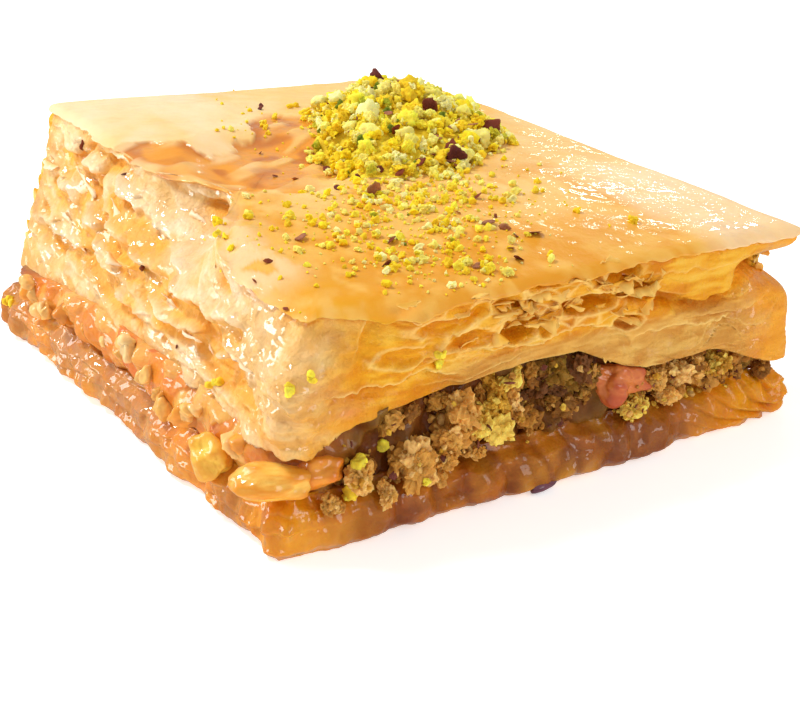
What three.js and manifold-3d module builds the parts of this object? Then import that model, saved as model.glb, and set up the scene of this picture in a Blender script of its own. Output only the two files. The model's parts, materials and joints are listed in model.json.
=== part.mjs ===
// A cut piece of baklava: a syrup-soaked base of thin pastry layers, a band of chopped nuts, a tall upper stack
// of crisp layers with a droopy glazed crust, and a heap of ground pistachio on top.
// Millimetres, +Z up. The origin is on the surface it stands on, below the middle of its box.
import * as THREE from 'three';
import { mergeVertices } from 'three/addons/utils/BufferGeometryUtils.js';
import Module from 'manifold-3d';

// Driving dimensions of the cut piece
const FRONT_LENGTH = 54.8;
const LEFT_LENGTH = 61.1;
const NEAR_ANGLE = THREE.MathUtils.degToRad(94.4);
const CRUST_HEIGHTS = [19.0, 18.3, 20.1, 23.4];   // near, right, back and left corner
const CRUST_DOME = 1.2;
const BASE_TOP = 4.6;
const NUT_BAND_TOP = 8.6;
const PIECE_GAP = 0.3;

// Syrup-darkened dent in the crust, left of the heap
const DENT = { x: -8.0, y: 2.5, reachX: 9.0, reachY: 10.5, depth: 1.2 };

// Heap of ground pistachio
const HEAP = {
  x: 7.0, y: 4.8, turn: THREE.MathUtils.degToRad(-30), reachX: 9.8, reachY: 13.6, height: 4.4,
  peakX: 8.6, peakY: 9.0, peakWidth: 8.5, clearance: 0.42,
};

// Roll of the crust down towards its rim, for each side, and what the near corner adds to it
const RIM_RADII = [1.0, 1.2, 1.0, 1.4];
const RIM_DROPS = [0.45, 0.35, 0.3, 0.5];
const NEAR_ROLL = { reach: 20, fade: 15, radius: 4.0, drop: 1.7 };

// Height of the nut band under the front face above that of the rest: places along it and rises
const FRONT_RISE = [
  [-24.0, 0.0], [-20.5, 0.1], [-18.2, 1.2], [-13.4, 2.0], [-7.0, 2.6],
  [-1.0, 3.1], [4.0, 2.9], [8.5, 0.7], [11.0, 0.0],
];

// Mesh density
const SIDE_STEPS = 18;
const CORNER_STEPS = 3;
const HEAP_STEPS = 28;

// Corners are listed counter-clockwise from above: near, right, back, left.
const SIDE = { front: 0, right: 1, back: 2, left: 3 };

const smooth = (value) => THREE.MathUtils.smoothstep(value, 0, 1);
const bell = (value) => Math.exp(-value * value);
const mix = THREE.MathUtils.lerp;

function hash(column, row, seed) {
  const wave = Math.sin(column * 127.1 + row * 311.7 + seed * 74.7) * 43758.5453;
  return wave - Math.floor(wave);
}

// Smooth value noise from -1 to 1, repeating in u after period cells
function noise(u, v, seed, period) {
  const column = Math.floor(u);
  const row = Math.floor(v);
  const wrap = (index) => ((index % period) + period) % period;
  const near = mix(hash(wrap(column), row, seed), hash(wrap(column + 1), row, seed), smooth(u - column));
  const far = mix(hash(wrap(column), row + 1, seed), hash(wrap(column + 1), row + 1, seed), smooth(u - column));
  return mix(near, far, smooth(v - row)) * 2 - 1;
}

function makeRandom(seed) {
  let state = seed;
  return () => {
    state = (state * 1664525 + 1013904223) % 4294967296;
    return state / 4294967296;
  };
}

// Plan of the base: a parallelogram with its centre on the axis
function planCorners() {
  const front = new THREE.Vector2(FRONT_LENGTH, 0);
  const left = new THREE.Vector2(Math.cos(NEAR_ANGLE), Math.sin(NEAR_ANGLE)).multiplyScalar(LEFT_LENGTH);
  const near = front.clone().add(left).multiplyScalar(-0.5);
  return [near, near.clone().add(front), near.clone().add(front).add(left), near.clone().add(left)];
}
const PLAN = planCorners();

// Inward shift of each corner, for the foot and the crest of the upper stack
const UPPER_FOOT_SHIFT = [[2.0, 1.4], [-1.0, 1.0], [-1.0, -1.0], [3.0, -0.6]];
const UPPER_CREST_SHIFT = [[2.4, 0.6], [-2.2, 0.7], [-2.9, -0.8], [8.2, -1.6]];
const NUT_CORE_SHIFT = [[4.0, 3.4], [-9.0, 3.6], [-4.0, -4.0], [5.4, -4.0]];
const BASE_SHIFT = [[0.2, 0.2], [-0.2, 0.2], [-0.2, -0.2], [0.2, -0.2]];
const BASE_RADII = [2.4, 2.4, 2.4, 2.4];
const NUT_RADII = [3.5, 3.5, 3.5, 3.5];
const FOOT_RADII = [2.2, 2.2, 2.2, 2.2];
const CREST_RADII = [4.2, 1.4, 2.6, 1.6];

function shifted(shift, share = 1) {
  return PLAN.map((corner, index) => new THREE.Vector2(shift[index][0], shift[index][1])
    .multiplyScalar(share).add(corner));
}

function between(cornersA, cornersB, share) {
  return cornersA.map((corner, index) => corner.clone().lerp(cornersB[index], share));
}

// One closed loop of plan points round four corners, each rounded by its radius.
// insetAt(side, t) moves the cut faces inward in millimetres.
function planLoop(corners, radii, insetAt) {
  const inward = corners.map((corner, side) => {
    const along = corners[(side + 1) % 4].clone().sub(corner).normalize();
    return new THREE.Vector2(-along.y, along.x);
  });
  const moved = corners.map((corner, side) => {
    const before = (side + 3) % 4;
    return corner.clone()
      .addScaledVector(inward[side], insetAt(side, 0))
      .addScaledVector(inward[before], insetAt(before, 1));
  });
  const onSide = (side, t) => {
    const extra = insetAt(side, t) - mix(insetAt(side, 0), insetAt(side, 1), t);
    return moved[side].clone().lerp(moved[(side + 1) % 4], t).addScaledVector(inward[side], extra);
  };
  const points = [];
  for (let side = 0; side < 4; side += 1) {
    const next = (side + 1) % 4;
    const length = moved[side].distanceTo(moved[next]);
    const trim = radii[side] / length;
    const endTrim = radii[next] / length;
    const nextTrim = radii[next] / moved[next].distanceTo(moved[(next + 1) % 4]);
    for (let step = 0; step <= SIDE_STEPS; step += 1) {
      const t = mix(trim, 1 - endTrim, step / SIDE_STEPS);
      points.push({ place: onSide(side, t), side, t });
    }
    const start = onSide(side, 1 - endTrim);
    const end = onSide(next, nextTrim);
    for (let step = 1; step < CORNER_STEPS; step += 1) {
      const share = step / CORNER_STEPS;
      const curve = start.clone().lerp(moved[next], share).lerp(moved[next].clone().lerp(end, share), share);
      points.push({ place: curve, side: share < 0.5 ? side : next, t: share < 0.5 ? 1 : 0 });
    }
  }
  return points;
}

const CREST = shifted(UPPER_CREST_SHIFT);

// How far the crust has rolled down at a plan point
function rimFall(x, y) {
  const toNear = Math.hypot(x - PLAN[0].x, y - PLAN[0].y);
  const nearness = smooth((NEAR_ROLL.reach - toNear) / NEAR_ROLL.fade);
  const falls = CREST.map((start, side) => {
    const way = CREST[(side + 1) % 4].clone().sub(start);
    const length = way.length();
    way.divideScalar(length);
    const along = ((x - start.x) * way.x + (y - start.y) * way.y) / length;
    const bay = crustBay(side, THREE.MathUtils.clamp(along, 0, 1));
    const offset = (y - start.y) * way.x - (x - start.x) * way.y - bay;
    const radius = RIM_RADII[side] + NEAR_ROLL.radius * nearness;
    const drop = RIM_DROPS[side] + NEAR_ROLL.drop * nearness;
    return drop * THREE.MathUtils.clamp(1 - offset / radius, 0, 1) ** 2.2;
  });
  return Math.hypot(...falls);
}

// Height of the crust over a plan point
function crustTop(x, y) {
  const v = THREE.MathUtils.clamp((y - PLAN[0].y) / (PLAN[3].y - PLAN[0].y), 0, 1);
  const startX = mix(PLAN[0].x, PLAN[3].x, v);
  const u = THREE.MathUtils.clamp((x - startX) / FRONT_LENGTH, 0, 1);
  const flat = mix(mix(CRUST_HEIGHTS[0], CRUST_HEIGHTS[1], u), mix(CRUST_HEIGHTS[3], CRUST_HEIGHTS[2], u), v);
  const dome = CRUST_DOME * (1 - (2 * u - 1) ** 4) * (1 - (2 * v - 1) ** 4);
  const nearness = Math.hypot((x - DENT.x) / DENT.reachX, (y - DENT.y) / DENT.reachY);
  return flat + dome - DENT.depth * smooth(2.2 * (1 - nearness)) - rimFall(x, y);
}

// Value at a place in a list of places and values
function interpolate(list, place) {
  if (place <= list[0][0]) {
    return list[0][1];
  }
  const index = list.findIndex(([start]) => start > place);
  if (index < 0) {
    return list.at(-1)[1];
  }
  const [start, low] = list[index - 1];
  const [end, high] = list[index];
  return mix(low, high, (place - start) / (end - start));
}

// Height of the underside of the upper stack: it sags onto the base at the right and left corners
function underside(x, y) {
  const toRight = Math.hypot(x - PLAN[1].x, y - PLAN[1].y);
  const toLeft = Math.hypot(x - PLAN[3].x, y - PLAN[3].y);
  const frontRise = interpolate(FRONT_RISE, x) * smooth((-y - 8) / 18);
  return NUT_BAND_TOP + frontRise - 3.0 * smooth((12 - toRight) / 9) - 1.8 * smooth((24 - toLeft) / 20);
}

// Solid between a list of loops from its lowest point to its highest, closed by a fan at each end
function loftLoops(loops, bottomCentre, topCentre) {
  const count = loops[0].length;
  const positions = loops.flat().flatMap((point) => [point.x, point.y, point.z]);
  const indices = [];
  for (let level = 0; level + 1 < loops.length; level += 1) {
    for (let step = 0; step < count; step += 1) {
      const a = level * count + step;
      const b = level * count + (step + 1) % count;
      indices.push(a, b, b + count, a, b + count, a + count);
    }
  }
  const bottom = positions.length / 3;
  positions.push(bottomCentre.x, bottomCentre.y, bottomCentre.z, topCentre.x, topCentre.y, topCentre.z);
  const lastLoop = (loops.length - 1) * count;
  for (let step = 0; step < count; step += 1) {
    indices.push(bottom, (step + 1) % count, step);
    indices.push(bottom + 1, lastLoop + step, lastLoop + (step + 1) % count);
  }
  const geometry = new THREE.BufferGeometry();
  geometry.setAttribute('position', new THREE.Float32BufferAttribute(positions, 3));
  geometry.setIndex(indices);
  return geometry;
}

function capLoops(edge, shares, centre, heightAt) {
  return shares.map((share) => edge.map((point) => {
    const x = mix(centre.x, point.x, share);
    const y = mix(centre.y, point.y, share);
    return new THREE.Vector3(x, y, heightAt(x, y));
  }));
}

// Joining of small pieces onto a solid
const wasm = await Module();
wasm.setup();

function toManifold(geometry) {
  const bare = geometry.clone();
  bare.deleteAttribute('normal');
  bare.deleteAttribute('uv');
  const merged = mergeVertices(bare, 1e-4);
  const mesh = new wasm.Mesh({
    numProp: 3,
    vertProperties: new Float32Array(merged.attributes.position.array),
    triVerts: new Uint32Array(merged.index.array),
  });
  return new wasm.Manifold(mesh);
}

function toGeometry(solid) {
  const mesh = solid.getMesh();
  const geometry = new THREE.BufferGeometry();
  geometry.setAttribute('position', new THREE.Float32BufferAttribute(mesh.vertProperties, 3));
  geometry.setIndex([...mesh.triVerts]);
  return geometry;
}

// The solid with all pieces fused on, without any scrap that hangs loose
function fuse(body, pieces) {
  let solid = toManifold(body);
  for (const piece of pieces) {
    solid = solid.add(toManifold(piece));
  }
  const parts = solid.decompose();
  parts.sort((a, b) => b.volume() - a.volume());
  return toGeometry(parts[0]);
}

// Rough lump with few sides, kept between a lowest and a highest surface
function lump({ x, y, z, size, turn, random, lowest, highest }) {
  const geometry = new THREE.IcosahedronGeometry(1, 0);
  geometry.deleteAttribute('normal');
  geometry.deleteAttribute('uv');
  const merged = mergeVertices(geometry, 1e-4);
  merged.rotateX(random() * Math.PI);
  merged.scale(size[0], size[1], size[2]);
  merged.rotateZ(turn);
  const position = merged.attributes.position;
  for (let index = 0; index < position.count; index += 1) {
    const swell = 0.82 + 0.36 * random();
    const px = x + position.getX(index) * swell;
    const py = y + position.getY(index) * swell;
    const pz = z + position.getZ(index) * swell;
    const low = lowest ? lowest(px, py) : -Infinity;
    const high = highest ? highest(px, py) : Infinity;
    position.setXYZ(index, px, py, THREE.MathUtils.clamp(pz, low, high));
  }
  return merged;
}

// Base: soaked layers pressed into one slab with softly folded sides
function makeBase() {
  const layerEdges = [
    { z: 0, inset: 0.9 }, { z: 0.35, inset: 0.25 }, { z: 1.1, inset: 0.05 }, { z: 1.5, inset: 0.45 },
    { z: 2.2, inset: 0.0 }, { z: 2.8, inset: 0.3 }, { z: 3.4, inset: 0.15 }, { z: 4.1, inset: 0.5 },
    { z: BASE_TOP, inset: 1.1 },
  ];
  const corners = shifted(BASE_SHIFT);
  const loops = layerEdges.map(({ z, inset }, level) => {
    const ripple = z > 0 ? 0.35 : 0;
    const insetAt = (side, t) => inset + ripple * noise((side + t) * 9, level * 0.6, 3, 36);
    return planLoop(corners, BASE_RADII, insetAt).map(({ place, side, t }) => {
      const lift = z > 0 && z < BASE_TOP ? 0.18 * noise((side + t) * 7, level * 0.4, 5, 28) : 0;
      return new THREE.Vector3(place.x, place.y, z + lift);
    });
  });
  const centre = new THREE.Vector3(0, 0, 0);
  return loftLoops(loops, centre, new THREE.Vector3(0, 0, BASE_TOP));
}

// How far the grooves between leaves cut in, and how strongly the leaves stand out, round the cut faces
function grooveDepth(side, t) {
  if (side === SIDE.front) {
    return 0.2 + 1.5 * smooth((t - 0.22) / 0.2) - 0.6 * smooth((t - 0.72) / 0.2);
  }
  if (side === SIDE.left) {
    return 0.25 + 0.55 * smooth((0.9 - t) / 0.3);
  }
  return 1.0;
}

// Inset of the torn crust along the left side, in a shallow bay beside the dent
function crustBay(side, t) {
  if (side !== SIDE.left) {
    return 0;
  }
  return 1.6 * Math.sin(Math.PI * t) + 5.0 * bell((t - 0.58) / 0.11);
}

// The open gap under the crust at the right corner
function cornerGap(side, t) {
  const depth = 4.4;
  if (side === SIDE.front) {
    return depth * smooth((t - 0.8) / 0.17);
  }
  if (side === SIDE.right) {
    return depth * smooth((0.2 - t) / 0.17);
  }
  return 0;
}

// Leaves of the upper stack by share of its height, from its foot to the crust
const LEAVES = [
  { from: 0.0, to: 0.1, seed: 11 },
  { from: 0.16, to: 0.25, seed: 12 },
  { from: 0.32, to: 0.4, seed: 13 },
  { from: 0.47, to: 0.54, seed: 14 },
  { from: 0.61, to: 0.67, seed: 15 },
  { from: 0.78, to: 0.86, seed: 16 },
  { from: 0.9, to: 0.97, seed: 17 },
];
const GAP_LEAF = 4;

function upperLoop(share, insetAt) {
  const corners = between(shifted(UPPER_FOOT_SHIFT), shifted(UPPER_CREST_SHIFT), share);
  const crustShare = smooth((share - 0.55) / 0.35);
  const radii = FOOT_RADII.map((radius, corner) => mix(radius, CREST_RADII[corner], crustShare));
  const inset = (side, t) => insetAt(side, t) + crustShare * crustBay(side, t);
  return planLoop(corners, radii, inset).map(({ place, side, t }) => {
    const wave = 0.35 * noise((side + t) * 8, share * 3, 7, 32) * Math.sin(Math.PI * share);
    const height = mix(underside(place.x, place.y), crustTop(place.x, place.y), share);
    return new THREE.Vector3(place.x, place.y, height + wave);
  });
}

function makeUpperStack() {
  const loops = [];
  const foot = upperLoop(0, () => 1.4);
  loops.push(...capLoops(foot, [0.4, 0.66, 0.84, 0.94], { x: 0, y: 0 }, underside));
  loops.push(foot);
  LEAVES.forEach((leaf, index) => {
    const flare = (side, t) => -0.5 * grooveDepth(side, t) * noise((side + t) * 10, 0, leaf.seed, 40);
    loops.push(upperLoop(leaf.from + 0.02, flare));
    loops.push(upperLoop(leaf.to, (side, t) => flare(side, t) + 0.12));
    if (index + 1 < LEAVES.length) {
      const middle = (leaf.to + LEAVES[index + 1].from) / 2;
      const cut = (side, t) => {
        const ragged = 0.75 + 0.5 * noise((side + t) * 12, 0, leaf.seed + 20, 48);
        return grooveDepth(side, t) * ragged + (index === GAP_LEAF ? cornerGap(side, t) : 0);
      };
      loops.push(upperLoop(middle, cut));
    }
  });
  const edge = upperLoop(1, () => 0.2);
  loops.push(edge);
  loops.push(...capLoops(edge, [0.97, 0.92, 0.8, 0.66, 0.52, 0.37, 0.2], { x: -1, y: 1 }, crustTop));
  const bottomCentre = new THREE.Vector3(0, 0, underside(0, 0));
  return loftLoops(loops, bottomCentre, new THREE.Vector3(-1, 1, crustTop(-1, 1)));
}

// Crumbs and nut skins stuck to the crust: place and half length
const CRUST_CRUMBS = [
  [-4.6, -22.6, 1.0], [-3.2, -24.6, 0.8], [-6.4, -20.4, 0.7], [-2.2, -19.4, 0.9], [-8.6, -27.2, 0.9],
  [-10.8, -24.0, 0.7], [-14.6, -15.8, 0.8], [-3.6, -14.6, 1.0], [2.6, -16.4, 0.8], [7.4, -11.6, 0.9],
  [-6.2, -10.8, 0.8], [-1.4, 20.6, 1.3], [-9.4, -17.4, 0.7], [11.8, -13.8, 0.7],
];

function makeUpper() {
  const random = makeRandom(41);
  const crumbs = CRUST_CRUMBS.map(([x, y, size]) => lump({
    x, y, z: crustTop(x, y) + 0.1 * size, size: [size, size * 0.8, size * 0.7], turn: random() * Math.PI, random,
  }));
  return fuse(makeUpperStack(), crumbs);
}

// Nut band: a core under the upper stack, with chopped nuts round its rim
function makeFilling() {
  const floor = () => BASE_TOP + PIECE_GAP;
  const roof = (x, y) => Math.max(underside(x, y) - PIECE_GAP - 0.15, BASE_TOP + PIECE_GAP + 0.2);
  const corners = shifted(NUT_CORE_SHIFT);
  const wavy = (seed, base) => (side, t) => base + 0.5 * noise((side + t) * 10, 0, seed, 40);
  const atHeight = (seed, base, share) => planLoop(corners, NUT_RADII, wavy(seed, base)).map(({ place }) => (
    new THREE.Vector3(place.x, place.y, mix(floor(), roof(place.x, place.y), share))));
  const lowest = atHeight(31, 0.4, 0);
  const highest = atHeight(33, 0.6, 1);
  const loops = [lowest, atHeight(32, -0.4, 0.5), highest];
  loops.push(...capLoops(highest, [0.6, 0.25], { x: 0, y: 0 }, roof));
  const core = loftLoops(loops, new THREE.Vector3(0, 0, floor()), new THREE.Vector3(0, 0, roof(0, 0)));

  const random = makeRandom(97);
  const pieces = [];
  const rim = planLoop(corners, NUT_RADII, wavy(32, -0.3));
  rim.forEach(({ place }, index) => {
    if (index % 3 !== 0) {
      return;
    }
    const size = 1.1 + 1.1 * random();
    const share = 0.25 + 0.5 * random();
    pieces.push(lump({
      x: place.x, y: place.y, z: mix(floor(), roof(place.x, place.y), share),
      size: [size * 1.2, size, size], turn: random() * Math.PI, random, lowest: floor, highest: roof,
    }));
  });
  // Whole and halved kernels that show in the near corner and along the two cut faces
  const kernels = [
    { x: -22.2, y: -27.2, size: [4.4, 2.0, 1.8], turn: -0.5 },
    { x: -25.6, y: -21.6, size: [2.2, 1.5, 1.9], turn: 1.4 },
    { x: 8.7, y: -28.2, size: [2.8, 1.7, 1.9], turn: -0.3 },
    { x: -10.4, y: -28.4, size: [2.6, 1.8, 2.2], turn: 0.3 },
    { x: -4.6, y: -28.2, size: [1.9, 1.6, 2.4], turn: 0.8 },
    { x: 15.0, y: -28.0, size: [2.4, 1.6, 1.5], turn: 0.6 },
  ];
  for (const { x, y, size, turn } of kernels) {
    pieces.push(lump({
      x, y, z: mix(floor(), roof(x, y), 0.5), size, turn, random, lowest: floor, highest: roof,
    }));
  }
  return fuse(core, pieces);
}

// Plan point at a share of the way from the middle of the heap to its wavy edge
function heapPlace(reach, angle) {
  const edge = 1 + 0.08 * Math.sin(3 * angle + 0.6) + 0.05 * Math.sin(7 * angle + 2.0);
  const offset = new THREE.Vector2(Math.cos(angle) * HEAP.reachX, Math.sin(angle) * HEAP.reachY);
  offset.multiplyScalar(reach * edge).rotateAround(new THREE.Vector2(0, 0), HEAP.turn);
  return offset.add(new THREE.Vector2(HEAP.x, HEAP.y));
}

function heapHeight(place, reach) {
  const toPeak = Math.hypot(place.x - HEAP.peakX, place.y - HEAP.peakY);
  const peak = 0.45 + 0.55 * bell(toPeak / HEAP.peakWidth);
  return HEAP.height * peak * (1 - reach * reach) ** 0.7;
}

function makeHeap() {
  const floor = (x, y) => crustTop(x, y) + HEAP.clearance;
  const surface = (place, reach) => floor(place.x, place.y) + 0.15 + 0.85 * heapHeight(place, reach);
  const ringAt = (reach, heightAt) => Array.from({ length: HEAP_STEPS }, (_, step) => {
    const place = heapPlace(reach, step / HEAP_STEPS * 2 * Math.PI);
    return new THREE.Vector3(place.x, place.y, heightAt(place));
  });
  const loops = [0.35, 0.7, 1.0].map((reach) => ringAt(reach, (place) => floor(place.x, place.y)));
  for (const reach of [0.97, 0.86, 0.72, 0.55, 0.36, 0.18]) {
    loops.push(ringAt(reach, (place) => surface(place, reach)));
  }
  const middle = heapPlace(0, 0);
  const bottom = new THREE.Vector3(middle.x, middle.y, floor(middle.x, middle.y));
  const top = new THREE.Vector3(middle.x, middle.y, surface(middle, 0));
  const core = loftLoops(loops, bottom, top);

  const random = makeRandom(2024);
  const pieces = [];
  const goldenAngle = Math.PI * (3 - Math.sqrt(5));
  const pieceCount = 54;
  for (let index = 0; index < pieceCount; index += 1) {
    const reach = Math.sqrt((index + 0.5) / pieceCount) * 0.93;
    const place = heapPlace(reach, index * goldenAngle);
    const size = 0.75 + 0.6 * random();
    pieces.push(lump({
      x: place.x, y: place.y, z: surface(place, reach), size: [size, size * 0.85, size * 0.8],
      turn: random() * Math.PI, random, lowest: floor,
    }));
  }
  return fuse(core, pieces);
}

function material(color, roughness) {
  return new THREE.MeshStandardMaterial({ color: new THREE.Color(...color), roughness, metalness: 0 });
}

function addPiece(group, name, geometry, finish) {
  const mesh = new THREE.Mesh(geometry, finish);
  mesh.name = name;
  group.add(mesh);
}

const baklava = new THREE.Group();
addPiece(baklava, 'base_layers', makeBase(), material([0.6, 0.3, 0.09], 0.3));
addPiece(baklava, 'nut_filling', makeFilling(), material([0.42, 0.24, 0.08], 0.6));
addPiece(baklava, 'upper_layers', makeUpper(), material([0.88, 0.6, 0.24], 0.3));
addPiece(baklava, 'pistachio_topping', makeHeap(), material([0.84, 0.66, 0.1], 0.85));

export default baklava;
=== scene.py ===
# Dresses a cut piece of baklava: soaked base, chopped nuts, wet upper layers, glazed crust, ground pistachio.
# Shapes are worked out in millimetres in the frame of the solids, and become metres when a mesh is made.
import json
from itertools import product

import bmesh
import bpy
import numpy as np
from mathutils import Matrix, Vector
from mathutils.bvhtree import BVHTree

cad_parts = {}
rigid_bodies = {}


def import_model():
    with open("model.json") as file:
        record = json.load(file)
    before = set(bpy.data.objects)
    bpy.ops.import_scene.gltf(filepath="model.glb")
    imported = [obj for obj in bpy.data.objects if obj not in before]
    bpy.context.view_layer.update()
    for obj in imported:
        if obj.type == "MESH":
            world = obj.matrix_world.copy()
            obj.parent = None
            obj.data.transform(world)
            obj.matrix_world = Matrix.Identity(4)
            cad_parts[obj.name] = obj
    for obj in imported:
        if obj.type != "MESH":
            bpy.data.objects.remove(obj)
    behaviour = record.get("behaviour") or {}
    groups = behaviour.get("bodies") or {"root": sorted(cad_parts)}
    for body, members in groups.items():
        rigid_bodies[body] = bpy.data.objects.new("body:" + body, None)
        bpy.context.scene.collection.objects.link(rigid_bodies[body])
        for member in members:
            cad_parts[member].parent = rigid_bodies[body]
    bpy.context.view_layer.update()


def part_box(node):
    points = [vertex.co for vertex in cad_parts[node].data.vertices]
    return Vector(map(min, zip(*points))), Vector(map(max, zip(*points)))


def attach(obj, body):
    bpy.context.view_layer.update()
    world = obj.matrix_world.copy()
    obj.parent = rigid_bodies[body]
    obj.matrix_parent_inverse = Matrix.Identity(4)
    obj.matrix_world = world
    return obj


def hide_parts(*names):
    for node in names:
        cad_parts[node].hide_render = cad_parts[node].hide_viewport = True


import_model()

MM = 0.001
BODY = "root"

# Material slot and solid of each part
BASE = ("soaked_pastry", "base_layers")
NUTS = ("chopped_nuts", "nut_filling")
PASTRY = ("crisp_pastry", "upper_layers")
PISTACHIO = ("ground_pistachio", "pistachio_topping")

# Driving dimensions, the same as those of the solids
FRONT_LENGTH = 54.8
LEFT_LENGTH = 61.1
NEAR_ANGLE = np.radians(94.4)
# At the near, right, back and left corner
CRUST_HEIGHTS = (19.0, 18.3, 20.1, 23.4)
CRUST_DOME = 1.2
BASE_TOP = (np.array(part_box("base_layers")[1]) / MM)[2]
NUT_BAND_TOP = 8.6
DENT = {"x": -8.0, "y": 2.5, "reach_x": 9.0, "reach_y": 10.5, "depth": 1.2}
HEAP = {"x": 7.0, "y": 4.8, "turn": np.radians(-30), "reach_x": 9.8, "reach_y": 13.6, "height": 4.6,
        "peak_x": 8.6, "peak_y": 9.0}

# Sides of the plan, counter-clockwise from above, and points along each
FRONT, RIGHT, BACK, LEFT = range(4)
SIDE_STEPS = (264, 84, 84, 284)
CORNER_STEPS = 12


# Numbers and noise

# More than any distance that is compared with it
FAR = 9.0


def mix(a, b, share):
    return a + (b - a) * share


def smooth(value):
    share = np.clip(value, 0.0, 1.0)
    return share * share * (3 - 2 * share)


def bell(value):
    return np.exp(-value * value)


def window(value, low, high, fade, last_fade=None):
    """1 between two limits, falling to 0 at them over a fade, or over another one at the upper limit."""
    return smooth((value - low) / fade) * smooth((high - value) / (last_fade or fade))


def lattice(ix, iy, iz, seed):
    """Random value from -1 to 1 for each whole-number place."""
    code = ix * 374761393 + iy * 668265263 + iz * 1440662683 + seed * 974634777
    code = (code ^ (code >> 13)) & 0xFFFFFFFF
    code = (code * 1274126177) & 0xFFFFFFFF
    code = code ^ (code >> 16)
    return (code & 0xFFFFFF) / 0x7FFFFF - 1.0


def noise(x, y, z, seed):
    """Smooth noise from -1 to 1 at each place, with cells of size 1."""
    x, y, z = np.broadcast_arrays(x, y, z)
    cell = [np.floor(axis).astype(np.int64) for axis in (x, y, z)]
    fx, fy, fz = (smooth(axis - start) for axis, start in zip((x, y, z), cell))
    total = np.zeros(x.shape)
    for dx, dy, dz in product((0, 1), repeat=3):
        weight = (fx if dx else 1 - fx) * (fy if dy else 1 - fy) * (fz if dz else 1 - fz)
        total += weight * lattice(cell[0] + dx, cell[1] + dy, cell[2] + dz, seed)
    return total


def rough(x, y, z, seed, octaves=3, gain=0.5):
    """Noise with finer and finer detail, still about -1 to 1."""
    total = 0.0
    weight = 1.0
    for octave in range(octaves):
        total = total + weight * noise(x * 2 ** octave, y * 2 ** octave, z * 2 ** octave, seed + octave)
        weight *= gain
    return total


def waves(x, y, z, *layers):
    """Sum of noise layers, each of weight, cell width, cell height and seed."""
    total = 0.0
    for weight, width, height, seed in layers:
        total = total + weight * noise(x / width, y / width, z / height, seed)
    return total


def ripples(x, y, *layers):
    """Sum of flat noise layers, each of weight, cell size and seed."""
    return waves(x, y, 0.0, *((weight, size, 1.0, seed) for weight, size, seed in layers))


def cells(x, y, z, seed):
    """Distance to the nearest of scattered points, gap to the second, and the cell's random number."""
    x, y, z = np.broadcast_arrays(x, y, z)
    cell = [np.floor(axis).astype(np.int64) for axis in (x, y, z)]
    nearest = np.full(x.shape, FAR)
    second = np.full(x.shape, FAR)
    number = np.zeros(x.shape)
    for shift in product((-1, 0, 1), repeat=3):
        place = [axis + step for axis, step in zip(cell, shift)]
        point = [axis + 0.5 + 0.45 * lattice(*place, seed + index) for index, axis in enumerate(place)]
        distance = np.sqrt((point[0] - x) ** 2 + (point[1] - y) ** 2 + (point[2] - z) ** 2)
        closer = distance < nearest
        second = np.where(closer, nearest, np.minimum(second, distance))
        number = np.where(closer, lattice(*place, seed + 7), number)
        nearest = np.where(closer, distance, nearest)
    return nearest, second - nearest, 0.5 + 0.5 * number


def linear(red, green, blue):
    """Linear colour from a display colour given in 0 to 255."""
    share = np.array([red, green, blue]) / 255.0
    return np.where(share <= 0.04045, share / 12.92, ((share + 0.055) / 1.055) ** 2.4)


def palette(*colors):
    return [linear(*color) for color in colors]


def blend_colors(first, second, share):
    return mix(np.asarray(first), np.asarray(second), np.asarray(share)[..., None])


def painted(tone, *coats):
    """A colour with others laid over it in turn, each by its share."""
    for color, share in coats:
        tone = blend_colors(tone, color, share)
    return tone


# Plan and heights of the piece

def plan_corners():
    front = np.array([FRONT_LENGTH, 0.0])
    left = LEFT_LENGTH * np.array([np.cos(NEAR_ANGLE), np.sin(NEAR_ANGLE)])
    near = -(front + left) / 2
    return np.array([near, near + front, near + front + left, near + left])


PLAN = plan_corners()
NEAR_CORNER, RIGHT_CORNER, _, LEFT_CORNER = PLAN
UPPER_FOOT = PLAN + np.array([[2.0, 1.4], [-1.0, 1.0], [-1.0, -1.0], [3.0, -0.6]])
UPPER_CREST = PLAN + np.array([[2.4, 0.6], [-2.2, 0.7], [-2.9, -0.8], [8.2, -1.6]])
NUT_CORE = PLAN + np.array([[2.4, 3.4], [-9.0, 3.6], [-4.0, -4.0], [3.0, -4.0]])
FOOT_RADII = np.array([2.2, 2.2, 2.2, 2.2])
CREST_RADII = np.array([4.2, 1.4, 2.6, 1.6])


def corner_distance(x, y, corner):
    return np.hypot(x - corner[0], y - corner[1])


def perimeter():
    """Side number, share along it and corner share for each point round the plan."""
    rows = []
    for side, steps in enumerate(SIDE_STEPS):
        for step in range(steps + 1):
            rows.append((side, step / steps, 0.0))
        for step in range(1, CORNER_STEPS):
            rows.append((side, 1.0, step / CORNER_STEPS))
    sides, shares, turns = (np.array(column) for column in zip(*rows))
    return sides.astype(int), shares, turns


SIDES, ALONG, TURN = perimeter()
COUNT = len(SIDES)


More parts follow.
